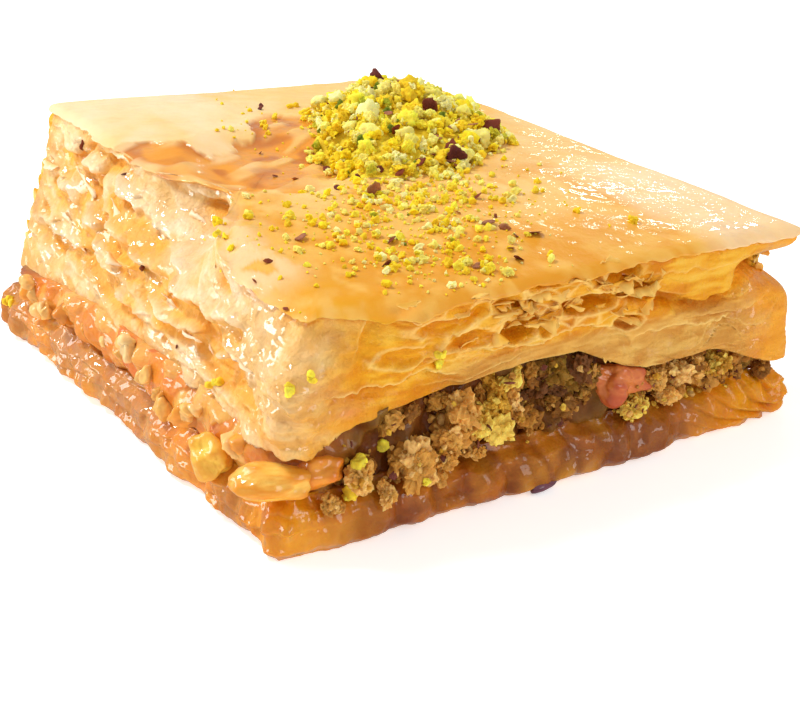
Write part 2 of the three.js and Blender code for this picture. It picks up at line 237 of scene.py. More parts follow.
def plan_loop(corners, radii, inset=None):
    """Points round four corners, each rounded by its radius; inset moves each point inward."""
    radii = np.broadcast_to(radii, (4,))
    following = np.roll(corners, -1, axis=0)
    length = np.linalg.norm(following - corners, axis=1)
    along = (following - corners) / length[:, None]
    start = corners[SIDES]
    next_radius = np.roll(radii, -1)[SIDES]
    share = mix(radii[SIDES] / length[SIDES], 1 - next_radius / length[SIDES], ALONG)
    straight = start + (following - corners)[SIDES] * share[:, None]
    corner = following[SIDES]
    after = corner + np.roll(along, -1, axis=0)[SIDES] * next_radius[:, None]
    before = corner - along[SIDES] * next_radius[:, None]
    turn = TURN[:, None]
    curved = mix(mix(before, corner, turn), mix(corner, after, turn), turn)
    points = np.where(TURN[:, None] > 0, curved, straight)
    if inset is not None:
        points = points - outward_of(points) * np.asarray(inset)[:, None]
    return points


def windowed(place, running, width):
    """Average over a window of a running total round a closed loop, at each place."""
    total = place[-1]
    wide_place = np.concatenate([place[:-1] - total, place[:-1], place + total])
    wide_sum = np.concatenate([running[:-1] - running[-1], running[:-1], running + running[-1]])
    middle = place[:-1]
    return (np.interp(middle + width, wide_place, wide_sum)
            - np.interp(middle - width, wide_place, wide_sum)) / (2 * width)


def outward_of(points, width=3.0):
    """Outward directions, turning gradually round the corners."""
    step = np.roll(points, -1, axis=0) - np.roll(points, 1, axis=0)
    normal = np.stack([step[:, 1], -step[:, 0]], axis=1)
    normal /= np.linalg.norm(normal, axis=1)[:, None]
    spacing = np.linalg.norm(np.roll(points, -1, axis=0) - points, axis=1)
    place = np.concatenate([[0.0], np.cumsum(spacing)])
    average = [windowed(place, np.concatenate([[0.0], np.cumsum(normal[:, axis] * spacing)]), width)
               for axis in (0, 1)]
    result = np.stack(average, axis=1)
    return result / np.linalg.norm(result, axis=1)[:, None]


def crust_bay(along):
    """Inset of the torn crust along the left side."""
    return 1.6 * np.sin(np.pi * along) + 5.0 * bell((along - 0.58) / 0.11)


RIM_RADII = (1.0, 1.2, 1.0, 1.4)
RIM_DROPS = (0.45, 0.35, 0.3, 0.5)
# Height of the underside over the front face above that of the rest: places along it and rises
FRONT_RISE = ((-24.0, -20.5, -18.2, -13.4, -7.0, -1.0, 4.0, 8.5, 11.0),
              (0.0, 0.1, 1.2, 2.0, 2.6, 3.1, 2.9, 0.7, 0.0))


def rim_fall(x, y):
    """How far the crust rolls down towards its rim, most of all at the near corner."""
    total = 0.0
    nearness = smooth((20 - corner_distance(x, y, NEAR_CORNER)) / 15)
    for side in range(4):
        start = UPPER_CREST[side]
        way = UPPER_CREST[(side + 1) % 4] - start
        length = np.linalg.norm(way)
        way = way / length
        offset = (y - start[1]) * way[0] - (x - start[0]) * way[1]
        if side == LEFT:
            along = ((x - start[0]) * way[0] + (y - start[1]) * way[1]) / length
            offset = offset - crust_bay(np.clip(along, 0, 1))
        radius = RIM_RADII[side] + 4.0 * nearness
        drop = RIM_DROPS[side] + 1.7 * nearness
        total = total + (drop * np.clip(1 - offset / radius, 0, 1) ** 2.2) ** 2
    return np.sqrt(total)


def crust_top(x, y):
    """Height of the crust before its wrinkles: domed, dented beside the heap and rolled down at its rim."""
    v = np.clip((y - NEAR_CORNER[1]) / (LEFT_CORNER[1] - NEAR_CORNER[1]), 0, 1)
    u = np.clip((x - mix(NEAR_CORNER[0], LEFT_CORNER[0], v)) / FRONT_LENGTH, 0, 1)
    near, right, back, left = CRUST_HEIGHTS
    flat = mix(mix(near, right, u), mix(left, back, u), v)
    dome = CRUST_DOME * (1 - (2 * u - 1) ** 4) * (1 - (2 * v - 1) ** 4)
    nearness = np.hypot((x - DENT["x"]) / DENT["reach_x"], (y - DENT["y"]) / DENT["reach_y"])
    return flat + dome - DENT["depth"] * smooth(2.2 * (1 - nearness)) - rim_fall(x, y)


def underside(x, y):
    """Height of the upper stack's lower side."""
    front_rise = np.interp(x, *FRONT_RISE) * smooth((-y - 8) / 18)
    right_fall = 3.0 * smooth((12 - corner_distance(x, y, RIGHT_CORNER)) / 9)
    left_fall = 1.8 * smooth((24 - corner_distance(x, y, LEFT_CORNER)) / 20)
    return NUT_BAND_TOP + front_rise - right_fall - left_fall


def face_outline(share):
    """Outline of the cut faces of the upper stack at a share of its height."""
    crust_share = smooth((share - 0.55) / 0.35)
    corners = mix(UPPER_FOOT, UPPER_CREST, share)
    bay = np.where((SIDES == LEFT) & (TURN == 0), crust_share * crust_bay(ALONG), 0.0)
    return plan_loop(corners, mix(FOOT_RADII, CREST_RADII, crust_share), bay)


# Distances along the faces, used to vary the layers from place to place
OUTLINE = plan_loop(UPPER_FOOT, 2.2)
OUTLINE_X, OUTLINE_Y = OUTLINE.T
RIGHT_TIP = corner_distance(OUTLINE_X, OUTLINE_Y, RIGHT_CORNER)
NEAR_TIP = corner_distance(OUTLINE_X, OUTLINE_Y, NEAR_CORNER)


def spread(values, width=4.0):
    """A row of values round the perimeter, averaged over a window so that it changes gradually."""
    spacing = np.linalg.norm(np.roll(OUTLINE, -1, axis=0) - OUTLINE, axis=1)
    place = np.concatenate([[0.0], np.cumsum(spacing)])
    return windowed(place, np.concatenate([[0.0], np.cumsum(values * spacing)]), width)


LEFTNESS = spread(np.where(SIDES == LEFT, 1.0, 0.0))
FRONTNESS = spread(np.where(SIDES == FRONT, 1.0, 0.0))
HIDDEN = np.clip(1 - LEFTNESS - FRONTNESS, 0, 1)
CORNERNESS = smooth((15 - NEAR_TIP) / 10)


def face_place(side, along, share):
    """Point, outward direction and direction along the face at a place of the upper stack's cut faces."""
    column = int(np.argmin(np.where((SIDES == side) & (TURN == 0), np.abs(ALONG - along), FAR)))
    outline = face_outline(share)
    x, y = outline[column]
    outward = outward_of(outline)[column]
    height = mix(underside(x, y), crust_top(x, y), share)
    return np.array([x, y, height]), np.array([*outward, 0.0]), np.array([-outward[1], outward[0], 0.0])


# Making of meshes

def make_object(name, points, faces, material, tint, flat=False, wet=None):
    """A mesh object from points in millimetres, faces, each point's colour and perhaps its wetness."""
    mesh = bpy.data.meshes.new(name)
    faces = faces if isinstance(faces, list) else faces.tolist()
    mesh.from_pydata((np.asarray(points) * MM).tolist(), [], faces)
    layer = mesh.color_attributes.new("tint", "FLOAT_COLOR", "POINT")
    colors = np.ones((len(points), 4), dtype=np.float32)
    colors[:, :3] = tint
    layer.data.foreach_set("color", colors.ravel())
    if wet is not None:
        wetness = mesh.attributes.new("wet", "FLOAT", "POINT")
        wetness.data.foreach_set("value", np.asarray(wet, dtype=np.float32))
    mesh.polygons.foreach_set("use_smooth", np.full(len(mesh.polygons), not flat))
    mesh.materials.append(material)
    mesh.update()
    piece = bpy.data.objects.new(name, mesh)
    bpy.context.collection.objects.link(piece)
    return piece


def finish_piece(piece, part):
    """The piece rides on the body and stands for its part's solid, which is hidden."""
    slot, *nodes = part
    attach(piece, BODY)
    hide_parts(*nodes)


def grid_faces(rows, columns, first=0):
    """Quads between neighbouring points of a grid whose columns close into a ring; rows change slowest."""
    steps = np.meshgrid(np.arange(rows - 1), np.arange(columns), indexing="ij")
    row, column = (axis.ravel() for axis in steps)
    next_column = (column + 1) % columns
    quads = np.stack([row * columns + column, row * columns + next_column,
                      (row + 1) * columns + next_column, (row + 1) * columns + column], axis=1)
    return quads + first


def strip_faces(rows, columns, first=0):
    """Faces of a strip of rings with a flat face at each end."""
    last = first + (rows - 1) * columns
    ends = [[first + column for column in range(columns)][::-1], [last + column for column in range(columns)]]
    return grid_faces(rows, columns, first=first).tolist() + ends


def shrunk(loop, scale):
    """A loop of points drawn in towards its middle."""
    center = loop.mean(axis=0)
    return center + (loop - center) * scale


def make_lofted(name, loops, material, tint, wet=None):
    """Closed solid through loops of points listed from its lowest to its highest, with a fan at each end."""
    rows, columns = loops.shape[:2]
    points = np.concatenate([loops.reshape(-1, 3), [loops[0].mean(axis=0), loops[-1].mean(axis=0)]])
    colors = np.concatenate([tint.reshape(-1, 3), [tint[0].mean(axis=0), tint[-1].mean(axis=0)]])
    column = np.arange(columns)
    following = (column + 1) % columns
    bottom = rows * columns
    last = (rows - 1) * columns
    faces = grid_faces(rows, columns).tolist()
    faces += np.stack([np.full(columns, bottom), following, column], axis=1).tolist()
    faces += np.stack([np.full(columns, bottom + 1), last + column, last + following], axis=1).tolist()
    if wet is not None:
        wet = np.concatenate([wet.ravel(), [wet[0].mean(), wet[-1].mean()]])
    return make_object(name, points, faces, material, colors, wet=wet)


# Materials

def set_inputs(node, values):
    for name, value in values.items():
        node.inputs[name].default_value = value


def new_node(nodes, kind, values=()):
    node = nodes.new("ShaderNode" + kind)
    set_inputs(node, dict(values))
    return node


def material_nodes(name):
    material = bpy.data.materials.new(name)
    material.use_nodes = True
    nodes = material.node_tree.nodes
    return material, nodes, material.node_tree.links, nodes["Principled BSDF"]


def tinted_color(nodes, links, scale, strength, darker):
    """Colour of the mesh, mottled by noise towards a darker tone of itself."""
    tint = new_node(nodes, "Attribute")
    tint.attribute_name = "tint"
    place = new_node(nodes, "TexCoord")
    mottle = new_node(nodes, "TexNoise", {"Scale": scale, "Detail": 5.0, "Roughness": 0.6})
    links.new(place.outputs["Object"], mottle.inputs["Vector"])
    ramp = new_node(nodes, "MapRange", {"From Min": 0.38, "From Max": 0.72, "To Min": 0.0,
                                        "To Max": strength})
    links.new(mottle.outputs["Fac"], ramp.inputs["Value"])
    blend = new_node(nodes, "Mix")
    blend.data_type = "RGBA"
    blend.blend_type = "MULTIPLY"
    links.new(ramp.outputs["Result"], blend.inputs["Factor"])
    links.new(tint.outputs["Color"], blend.inputs["A"])
    blend.inputs["B"].default_value = (*darker, 1.0)
    return blend.outputs["Result"], place.outputs["Object"]


def add_bump(nodes, links, place, layers, socket, detail=4.0):
    """Fine relief for a socket from noise layers of scale, strength, distance in metres and stretch."""
    previous = None
    for scale, strength, distance, stretch in layers:
        mapping = new_node(nodes, "Mapping", {"Scale": stretch})
        links.new(place, mapping.inputs["Vector"])
        relief = new_node(nodes, "TexNoise", {"Scale": scale, "Detail": detail, "Roughness": 0.55})
        links.new(mapping.outputs["Vector"], relief.inputs["Vector"])
        bump = new_node(nodes, "Bump", {"Strength": strength, "Distance": distance})
        links.new(relief.outputs["Fac"], bump.inputs["Height"])
        if previous is not None:
            links.new(previous.outputs["Normal"], bump.inputs["Normal"])
        previous = bump
    links.new(previous.outputs["Normal"], socket)


# Syrup lies smoothly over the fine grain below it
COAT_DETAIL = 0.6


def food_material(name, *, roughness, coat, coat_roughness, subsurface, radius, mottle, bumps, specular=0.12,
                  coat_bumps=None, dry_coat=None, coat_ior=1.5):
    """Food with a coat of syrup, from dry_coat if given to the full one by the mesh's wetness."""
    material, nodes, links, shader = material_nodes(name)
    color, place = tinted_color(nodes, links, *mottle)
    links.new(color, shader.inputs["Base Color"])
    set_inputs(shader, {"Roughness": roughness, "Specular IOR Level": specular, "Coat Weight": coat,
                        "Coat Roughness": coat_roughness, "Coat IOR": coat_ior,
                        "Subsurface Weight": subsurface, "Subsurface Radius": radius,
                        "Subsurface Scale": MM})
    add_bump(nodes, links, place, bumps, shader.inputs["Normal"])
    add_bump(nodes, links, place, coat_bumps or bumps, shader.inputs["Coat Normal"], detail=COAT_DETAIL)
    if dry_coat is not None:
        wet = new_node(nodes, "Attribute")
        wet.attribute_name = "wet"
        amount = new_node(nodes, "MapRange", {"To Min": dry_coat, "To Max": coat})
        links.new(wet.outputs["Fac"], amount.inputs["Value"])
        links.new(amount.outputs["Result"], shader.inputs["Coat Weight"])
    return material


EVEN = (1.0, 1.0, 1.0)
LENGTHWISE = (1.0, 0.55, 1.0)
crust_finish = food_material(
    "crust_glaze", roughness=0.5, coat=1.0, coat_roughness=0.04, subsurface=0.25, radius=(0.4, 0.25, 0.12),
    mottle=(420.0, 0.5, (0.97, 0.84, 0.6)), dry_coat=0.1,
    bumps=[(600.0, 0.3, 0.0003, EVEN), (2600.0, 0.3, 0.0001, EVEN)],
    coat_bumps=[(300.0, 0.5, 0.0006, EVEN), (900.0, 0.6, 0.0004, EVEN)])
sheet_finish = food_material(
    "pastry_sheet", roughness=0.55, coat=0.12, coat_roughness=0.15, subsurface=0.2, radius=(0.25, 0.16, 0.08),
    mottle=(420.0, 0.5, (0.96, 0.8, 0.5)),
    bumps=[(900.0, 0.35, 0.0002, EVEN), (3200.0, 0.25, 0.0001, EVEN)])
shred_finish = food_material(
    "pastry_shred", roughness=0.5, coat=0.2, coat_roughness=0.12, subsurface=0.0, radius=(0.1, 0.1, 0.1),
    mottle=(600.0, 0.5, (0.96, 0.8, 0.5)),
    bumps=[(1500.0, 0.35, 0.0002, EVEN)])
body_finish = food_material(
    "wet_pastry", roughness=0.5, coat=0.95, coat_roughness=0.05, subsurface=0.15, radius=(0.4, 0.3, 0.2),
    mottle=(520.0, 0.65, (0.95, 0.76, 0.46)), dry_coat=0.08, coat_ior=1.9,
    bumps=[(800.0, 0.8, 0.0005, EVEN), (2600.0, 0.8, 0.0002, EVEN)],
    coat_bumps=[(760.0, 1.0, 0.0011, LENGTHWISE)])
soaked_finish = food_material(
    "soaked_pastry", roughness=0.45, coat=0.95, coat_roughness=0.05, subsurface=0.35, radius=(1.0, 0.5, 0.2),
    mottle=(360.0, 0.75, (0.86, 0.6, 0.34)), dry_coat=0.1, coat_ior=1.6,
    bumps=[(520.0, 0.7, 0.0005, EVEN), (2000.0, 0.5, 0.0002, EVEN)],
    coat_bumps=[(700.0, 1.0, 0.0011, LENGTHWISE)])
nut_finish = food_material(
    "chopped_nut", roughness=0.6, coat=0.1, coat_roughness=0.2, subsurface=0.2, radius=(0.6, 0.3, 0.12),
    mottle=(900.0, 0.7, (0.74, 0.55, 0.34)),
    bumps=[(1500.0, 0.8, 0.0003, EVEN), (5000.0, 0.6, 0.0001, EVEN)])
kernel_finish = food_material(
    "glazed_kernel", roughness=0.35, coat=0.6, coat_roughness=0.06, subsurface=0.15, radius=(0.4, 0.3, 0.2),
    mottle=(500.0, 0.6, (0.92, 0.7, 0.4)),
    bumps=[(900.0, 0.5, 0.0003, EVEN), (3000.0, 0.3, 0.0001, EVEN)],
    coat_bumps=[(500.0, 0.9, 0.0006, EVEN)], coat_ior=1.7)
crumb_finish = food_material(
    "ground_pistachio", roughness=0.75, coat=0.0, coat_roughness=0.3, subsurface=0.3, radius=(0.5, 0.4, 0.1),
    mottle=(1100.0, 0.3, (0.92, 0.84, 0.5)),
    bumps=[(2500.0, 0.7, 0.0002, EVEN)])


# Upper stack: one wet mass of fused sheets, bundled and hollow on the front, torn and smeared on the left

BODY_ROWS = 112
LIP = 0.09
GAP_SHARE = 0.72
INWARD_OF_RIGHT_TIP = np.array([-0.72, 0.69])
BAND_LOW = ((4.5, 9.5, 13.0, 16.2, 19.5, 22.2, 27.4), (19.6, 16.6, 14.8, 13.6, 14.1, 15.4, 16.3))
BUNDLE_TOP = ((8.0, 10.9, 14.0, 16.5, 20.0, 23.0, 27.9), (15.4, 14.5, 12.9, 12.5, 12.9, 13.8, 13.4))

# Hollows of the front face: place along it, height, reaches and depth
BOWLS = ((-2.3, 14.9, 2.0, 1.2, 1.7), (4.2, 15.8, 3.0, 0.95, 1.9), (-6.6, 14.9, 2.3, 0.9, 0.7),
         (-2.6, 17.0, 1.7, 0.35, 1.2), (0.4, 18.3, 2.2, 0.5, 0.9), (7.6, 17.6, 1.8, 0.8, 1.2),
         (-9.4, 16.4, 2.6, 0.7, 0.6), (8.6, 13.2, 1.5, 0.7, 0.8), (-12.6, 14.6, 2.6, 0.7, 0.5))
# Bent folds of the front face: place along it, height, reach and how far the layers bend there
LENSES = ((15.4, 9.8, 1.7, 2.4), (10.2, 10.6, 1.9, 1.8), (19.4, 10.2, 1.6, -1.6), (4.0, 12.9, 2.4, 1.6),
          (24.5, 9.8, 2.2, 1.5))
# Torn edges of the front face: places along it, heights and depth under the edge
FRONT_EDGES = (((-24.5, -21.7, -20.1, -18.0, -15.9, -14.2, -13.0, -11.5),
                (17.0, 17.3, 17.2, 17.4, 18.0, 18.6, 19.4, 19.9), 0.9),
               ((-17.2, -16.6, -16.0, -15.1, -13.7, -12.5), (14.6, 15.3, 16.2, 17.2, 17.9, 19.0), 0.6),
               ((-20.4, -19.3, -17.7, -16.0, -13.4, -10.7, -7.2),
                (12.2, 12.5, 12.6, 12.7, 12.7, 12.9, 11.8), 0.8),
               ((-12.4, -10.8, -7.1, -4.4, -2.4), (13.8, 14.2, 14.0, 13.6, 13.1), 0.5),
               ((-14.5, -11.5, -8.5, -5.5), (16.9, 17.4, 18.4, 18.6), 0.4),
               ((-3.0, 0.5, 3.5, 6.5, 9.0), (13.2, 13.4, 14.0, 13.5, 12.0), 0.4),
               ((9.0, 13.0, 17.0, 20.5), (11.6, 11.9, 11.3, 11.6), 0.35),
               ((7.0, 12.0, 17.5, 23.0, 28.0), (17.9, 17.0, 16.4, 16.9, 17.3), 0.3))


def shelf(height, line, depth, fade):
    """Inset below a torn edge that lies along a line of the face, and how much of it is the edge's rim."""
    below = line - height
    inset = depth * smooth(below / 0.22 + 0.5) * np.exp(-np.clip(below, 0, None) / fade)
    return inset, bell((below + 0.12) / 0.14)


def sawtooth(part, lip):
    """Step of a layer: from 1 down to 0 over its lip, then slowly up again."""
    return np.where(part < lip, 1 - part / lip, (part - lip) / (1 - lip))


def layers_at(place, x, y, seed):
    """Sawtooth step of bent layers, and the rims of those layers whose edge shows."""
    part = place - np.floor(place)
    strength = smooth(0.3 + 0.9 * noise(x / 4.5, y / 4.5, np.floor(place) * 3.3, seed))
    return strength * sawtooth(part, LIP), strength * bell((part - 1.3 * LIP) / 0.07)


def front_relief(x, y, z):
    """Inset of the front face, its pale rims, its amber hollows and its bundled part."""
    bend = waves(x, y, z, (1.1, 10, 5, 511), (0.45, 3.6, 2.6, 512))
    for center_x, center_z, reach, turn in LENSES:
        bend = bend + turn * bell(np.hypot(x - center_x, 1.4 * (z - center_z)) / reach)
    ragged = 0.08 * noise(x / 0.5, y / 0.5, z / 0.8, 513)
    step, rim = layers_at(z / 1.15 + bend + ragged, x, y, 514)
    rim = 0.7 * rim
    fine = np.cos(2 * np.pi * (z / 0.42 + 2.3 * bend + ragged))
    fine = fine * smooth(0.5 + noise(x / 3, y / 3, z / 2, 515))
    away = smooth((x + 19) / 8)
    rim = rim * away
    inset = 0.3 * away * step - 0.035 * away * fine
    for along, heights, depth in FRONT_EDGES:
        shown = window(x, along[0], along[-1], 1.2)
        line = np.interp(x, along, heights) + 0.25 * noise(x / 1.1, y / 1.1, depth * 40, 516)
        line = line + 0.12 * noise(x / 0.35, y / 0.35, depth * 40, 517)
        added, edge = shelf(z, line, depth, 2.2)
        inset = inset + shown * added
        rim = np.maximum(rim, shown * edge)
    uneven = waves(x, y, z, (0.22, 1.3, 0.9, 518), (0.1, 0.4, 0.4, 519))
    hollow = np.zeros(x.shape)
    for center_x, center_z, reach_x, reach_z, depth in BOWLS:
        gone = np.hypot((x - center_x) / reach_x, (z - center_z) / reach_z) + uneven
        hollow = np.maximum(hollow, depth * smooth((1.1 - gone) / 0.55))
        rim = np.maximum(rim, 0.9 * bell((gone - 1.16) / 0.12))
    _, gap, number = cells(x / 2.4 + 0.3 * bend, y / 2.4, z / 1.5 + 0.5 * bend, 520)
    loose = window(x, -13, 11, 5) * window(z, 12.6, 19.6, 1.5, 1.0)
    hollow = np.maximum(hollow, 1.5 * loose * np.clip(number - 0.4, 0, None) * smooth((gap - 0.04) / 0.35))
    rim = np.maximum(rim, loose * bell(gap / 0.09))
    band_low = np.interp(x, *BAND_LOW) + uneven
    bundle_top = np.interp(x, *BUNDLE_TOP) - uneven
    under_band = smooth((band_low - z) / 0.4) * smooth((z - bundle_top + 0.2) / 0.9) * smooth((x - 6) / 4)
    hollow = np.maximum(hollow, 1.3 * under_band)
    band = smooth((z - band_low) / 0.5) * smooth((x - 4) / 3)
    bundle = smooth((13.6 - z) / 1.2) * window(x, -11, 24.5, 5, 3)
    folds = waves(x, y, z, (0.45, 3.4, 2.2, 521), (0.1, 1.0, 0.6, 522))
    inset = inset * (1 - 0.5 * band) + hollow + 0.4 * folds - 0.3 * bundle * smooth((12 - z) / 3)
    rim = rim * (1 - 0.6 * band) * (1 - smooth(hollow / 0.5))
    return inset, np.clip(rim, 0, 1), hollow, bundle


def corner_relief(x, y, z):
    """Fibrous inset of the near corner, where the layers have melted together."""
    turn = (x - y) / 1.4
    lean = turn + 0.5 * z
    fibres = rough(lean / 0.9, (z - 0.4 * turn) / 3.0, 0.0, 571)
    lumps = rough(x / 3.4, y / 3.4, z / 2.8, 572)
    layers = np.abs(noise(x / 5, y / 5, z / 0.55 + 0.6 * lumps, 574))
    return 0.4 * lumps + 0.18 * fibres + 0.12 * rough(x / 0.6, y / 0.6, z / 0.5, 573) + 0.22 * layers


# Height of the left face, and how many torn edges cross it
LEFT_HEIGHT = 12.0
LEFT_EDGES = 54


def left_edges():
    """Torn edges of the left face: the line of each over the columns, where it shows and its depth."""
    random = np.random.default_rng(531)
    one_each = (LEFT_EDGES, 1)
    middle = random.uniform(-29, 30, one_each)
    reach = random.uniform(4.0, 12.0, one_each)
    level = random.uniform(0.8, 11.6, one_each)
    slant = random.normal(0.16, 0.13, one_each)
    number = np.arange(LEFT_EDGES)[:, None] * 7.3
    along = OUTLINE_Y[None, :]
    line = level + slant * (along - middle) + 0.5 * noise(along / 3.2, number, 0.0, 532)
    line = line + 0.16 * noise(along / 0.9, number, 0.0, 533) + 0.07 * noise(along / 0.3, number, 0.0, 534)
    shown = smooth((reach - np.abs(along - middle)) / 1.6) * smooth((NEAR_TIP - 5) / 9)
    return line, shown, random.uniform(0.18, 0.6, one_each)


EDGE_LINES, EDGE_SHOWN, EDGE_DEPTHS = left_edges()
# Smooth amber hollows of the left face: place along it, share of its height, reaches and depth
LEFT_BOWLS = ((19.0, 0.84, 2.2, 0.07, 1.1), (15.0, 0.74, 2.4, 0.055, 1.0), (12.0, 0.66, 1.9, 0.05, 0.9),
              (8.6, 0.58, 2.4, 0.07, 1.0), (22.5, 0.6, 1.8, 0.06, 0.7), (-4.0, 0.86, 3.2, 0.06, 1.0),
              (1.0, 0.4, 2.4, 0.06, 0.8), (-9.0, 0.3, 2.6, 0.07, 0.7), (-14.5, 0.55, 2.2, 0.05, 0.6))


# Rise of the smeared strands along the left face
STRAND_SLOPE = 0.28
# Thick strands there: places along it, shares of its height, half width and height above the face
STRANDS = (((-14.5, -13.2, -4.6, 3.2, 12.3, 25.1), (0.72, 0.7, 0.7, 0.8, 0.86, 0.9), 0.8, 0.8),
           ((-20.0, -18.5, -10.5, -2.0, 10.1, 26.2), (0.1, 0.12, 0.14, 0.3, 0.34, 0.34), 0.6, 0.5),
           ((-22.4, -15.0, -8.0, 0.0, 9.0), (0.86, 0.66, 0.56, 0.6, 0.66), 0.9, 0.8),
           ((-20.0, -16.4, -8.0, 2.0, 14.0), (0.5, 0.4, 0.36, 0.48, 0.56), 0.6, 0.55),
           ((-4.0, 4.0, 14.0, 24.0), (0.2, 0.2, 0.52, 0.7), 0.6, 0.5))


def strands_at(y, share):
    """Height of the thick strands above the left face, and the hollow under each."""
    raised = np.zeros(np.shape(y))
    under = np.zeros(np.shape(y))
    for number, (along, shares, width, height) in enumerate(STRANDS):
        line = np.interp(y, along, shares) + 0.03 * noise(y / 2.6, number * 5.0, 0.0, 536)
        line = line + 0.01 * noise(y / 0.8, number * 5.0, 0.0, 537)
        shown = window(y, along[0], along[-1], 2.5)
        shown = shown * smooth(0.75 + noise(y / 3, number * 9.0, 0.0, 538))
        above = LEFT_HEIGHT * (share - line)
        raised = np.maximum(raised, height * shown * bell(above / (width * np.where(above > 0, 0.9, 0.5))))
        under = np.maximum(under, 0.8 * shown * bell((above + 1.7 * width) / width))
    return raised, under


def left_relief(x, y, share):
    """Inset of the left face, its pale rims and its amber hollows."""
    height = share * LEFT_HEIGHT
    added, edge = shelf(height, EDGE_LINES, EDGE_DEPTHS, 1.6)
    inset = (added * EDGE_SHOWN).max(axis=0)
    rim = (edge * EDGE_SHOWN).max(axis=0) * smooth(0.6 + noise(x / 2, y / 2, height, 541))
    bend = waves(x, y, height, (0.8, 7, 4, 542), (0.3, 2.4, 1.8, 543))
    calm = window(share, 0.05, 0.97, 0.1, 0.08) * smooth((NEAR_TIP - 4) / 8)
    level = height - STRAND_SLOPE * y
    sunk = noise(x / 7, y / 7 + 0.5 * bend, level / 1.9 + 0.8 * bend, 544)
    hollow = 1.3 * calm * smooth((sunk - 0.12) / 0.5)
    uneven = 0.3 * noise(x / 1.5, y / 1.5, height / 1.0, 545)
    for center_y, center_share, reach_y, reach_share, depth in LEFT_BOWLS:
        gone = np.hypot((y - center_y) / reach_y, (share - center_share) / reach_share) + uneven
        hollow = np.maximum(hollow, depth * smooth((1.1 - gone) / 0.6))
    raised, under = strands_at(y, share)
    hollow = np.maximum(hollow * (1 - smooth(raised / 0.4)), under)
    ridge = 1 - np.abs(noise(x / 8, y / 8 + 0.6 * bend, level / 1.7 + 0.8 * bend, 546))
    crease = ridge ** 9
    folds = waves(x, y, height, (0.5, 3.0, 1.8, 547), (0.16, 1.2, 0.6, 548))
    fibres = noise(x / 3, y / 3 + bend, level / 0.25 + 3 * bend, 549)
    inset = inset + hollow + 0.5 * folds - 0.4 * crease * calm - 0.06 * fibres - raised
    pale = np.clip(0.9 * rim + 0.55 * crease * calm + raised, 0, 1) * (1 - 0.8 * smooth(hollow / 0.5))
    return inset, pale, hollow, fibres


FRONT_DEEP = linear(218, 134, 10)
FRONT_AMBER = linear(238, 170, 26)
FRONT_GOLD = linear(242, 190, 66)
FRONT_RIM = linear(250, 212, 126)
FLAKE_GOLD = linear(248, 200, 104)
BUNDLE_TAN = linear(206, 148, 66)
BUNDLE_PALE = linear(230, 182, 98)
LEFT_TONE = linear(236, 188, 112)
LEFT_PALE = linear(248, 210, 158)
LEFT_RIM = linear(255, 232, 196)
HOLLOW_AMBER = linear(246, 178, 58)
TIP_ORANGE = linear(242, 164, 50)
CORNER_PINK = linear(226, 140, 96)
CORNER_AMBER = linear(240, 166, 60)
CORNER_PALE = linear(248, 198, 116)


def body_wetness(x, y, z, hollow):
    """How wet the cut faces are: most on the left, at the near corner and at the right tip."""
    patch = smooth(0.4 + 0.9 * rough(x / 3, y / 3, z / 2.4, 553))
    front = np.clip(0.12 + 0.25 * smooth(hollow / 0.6) + 0.9 * smooth((9 - RIGHT_TIP) / 4), 0, 1)
    return patch * mix(front, 1.0, np.clip(LEFTNESS + 0.6 * smooth((9 - NEAR_TIP) / 6), 0, 1))


def body_colors(x, y, z, front, left):
    _, rim, hollow, bundle = front
    streak = rough(x / 2.8, y / 2.8, z / 0.8, 551)
    thread = noise(x / 1.6, y / 1.6, z / 0.22, 552)
    tone = blend_colors(FRONT_DEEP, FRONT_AMBER, smooth(0.6 + 0.6 * streak + 0.2 * thread))
    golden = smooth(0.1 + 0.8 * streak + 0.3 * thread) * (1 - smooth(hollow / 0.6))
    tone = blend_colors(tone, FRONT_GOLD, golden)
    tan = blend_colors(BUNDLE_TAN, BUNDLE_PALE, smooth(0.4 + 0.6 * streak + 0.4 * thread))
    tone = painted(tone, (tan, 0.85 * bundle), (FRONT_RIM, 0.8 * rim),
                   (TIP_ORANGE, 0.7 * smooth((10 - RIGHT_TIP) / 6)))
    pink = bell((x + 17.6) / 1.1) * bell((z - 11.0) / 0.7)
    tone = blend_colors(tone, CORNER_PINK, 0.8 * pink)
    _, rim, hollow, fibres = left
    side = blend_colors(LEFT_TONE, LEFT_PALE, smooth(0.35 + 0.6 * streak + 0.3 * fibres))
    side = painted(side, (LEFT_RIM, 0.75 * rim),
                   (HOLLOW_AMBER, np.clip(smooth(hollow / 0.6) * (0.75 + 0.3 * streak), 0, 1)))
    tone = blend_colors(tone, side, LEFTNESS)
    foot = smooth((13.5 - z) / 4) * CORNERNESS * (1 - 0.5 * LEFTNESS)
    melted = blend_colors(CORNER_AMBER, CORNER_PALE, smooth(0.2 + 0.8 * streak + 0.4 * fibres))
    tone = blend_colors(tone, melted, 0.8 * foot)
    layered = CORNERNESS * (1 - LEFTNESS) * smooth(0.2 + 1.3 * noise(x / 4, y / 4, z / 0.7, 554))
    return blend_colors(tone, FRONT_AMBER, 0.6 * layered)


# Inset of the crest at the near corner, where the crust rolls over into the cut faces
SHOULDER = 2.2 * smooth((13 - NEAR_TIP) / 11)


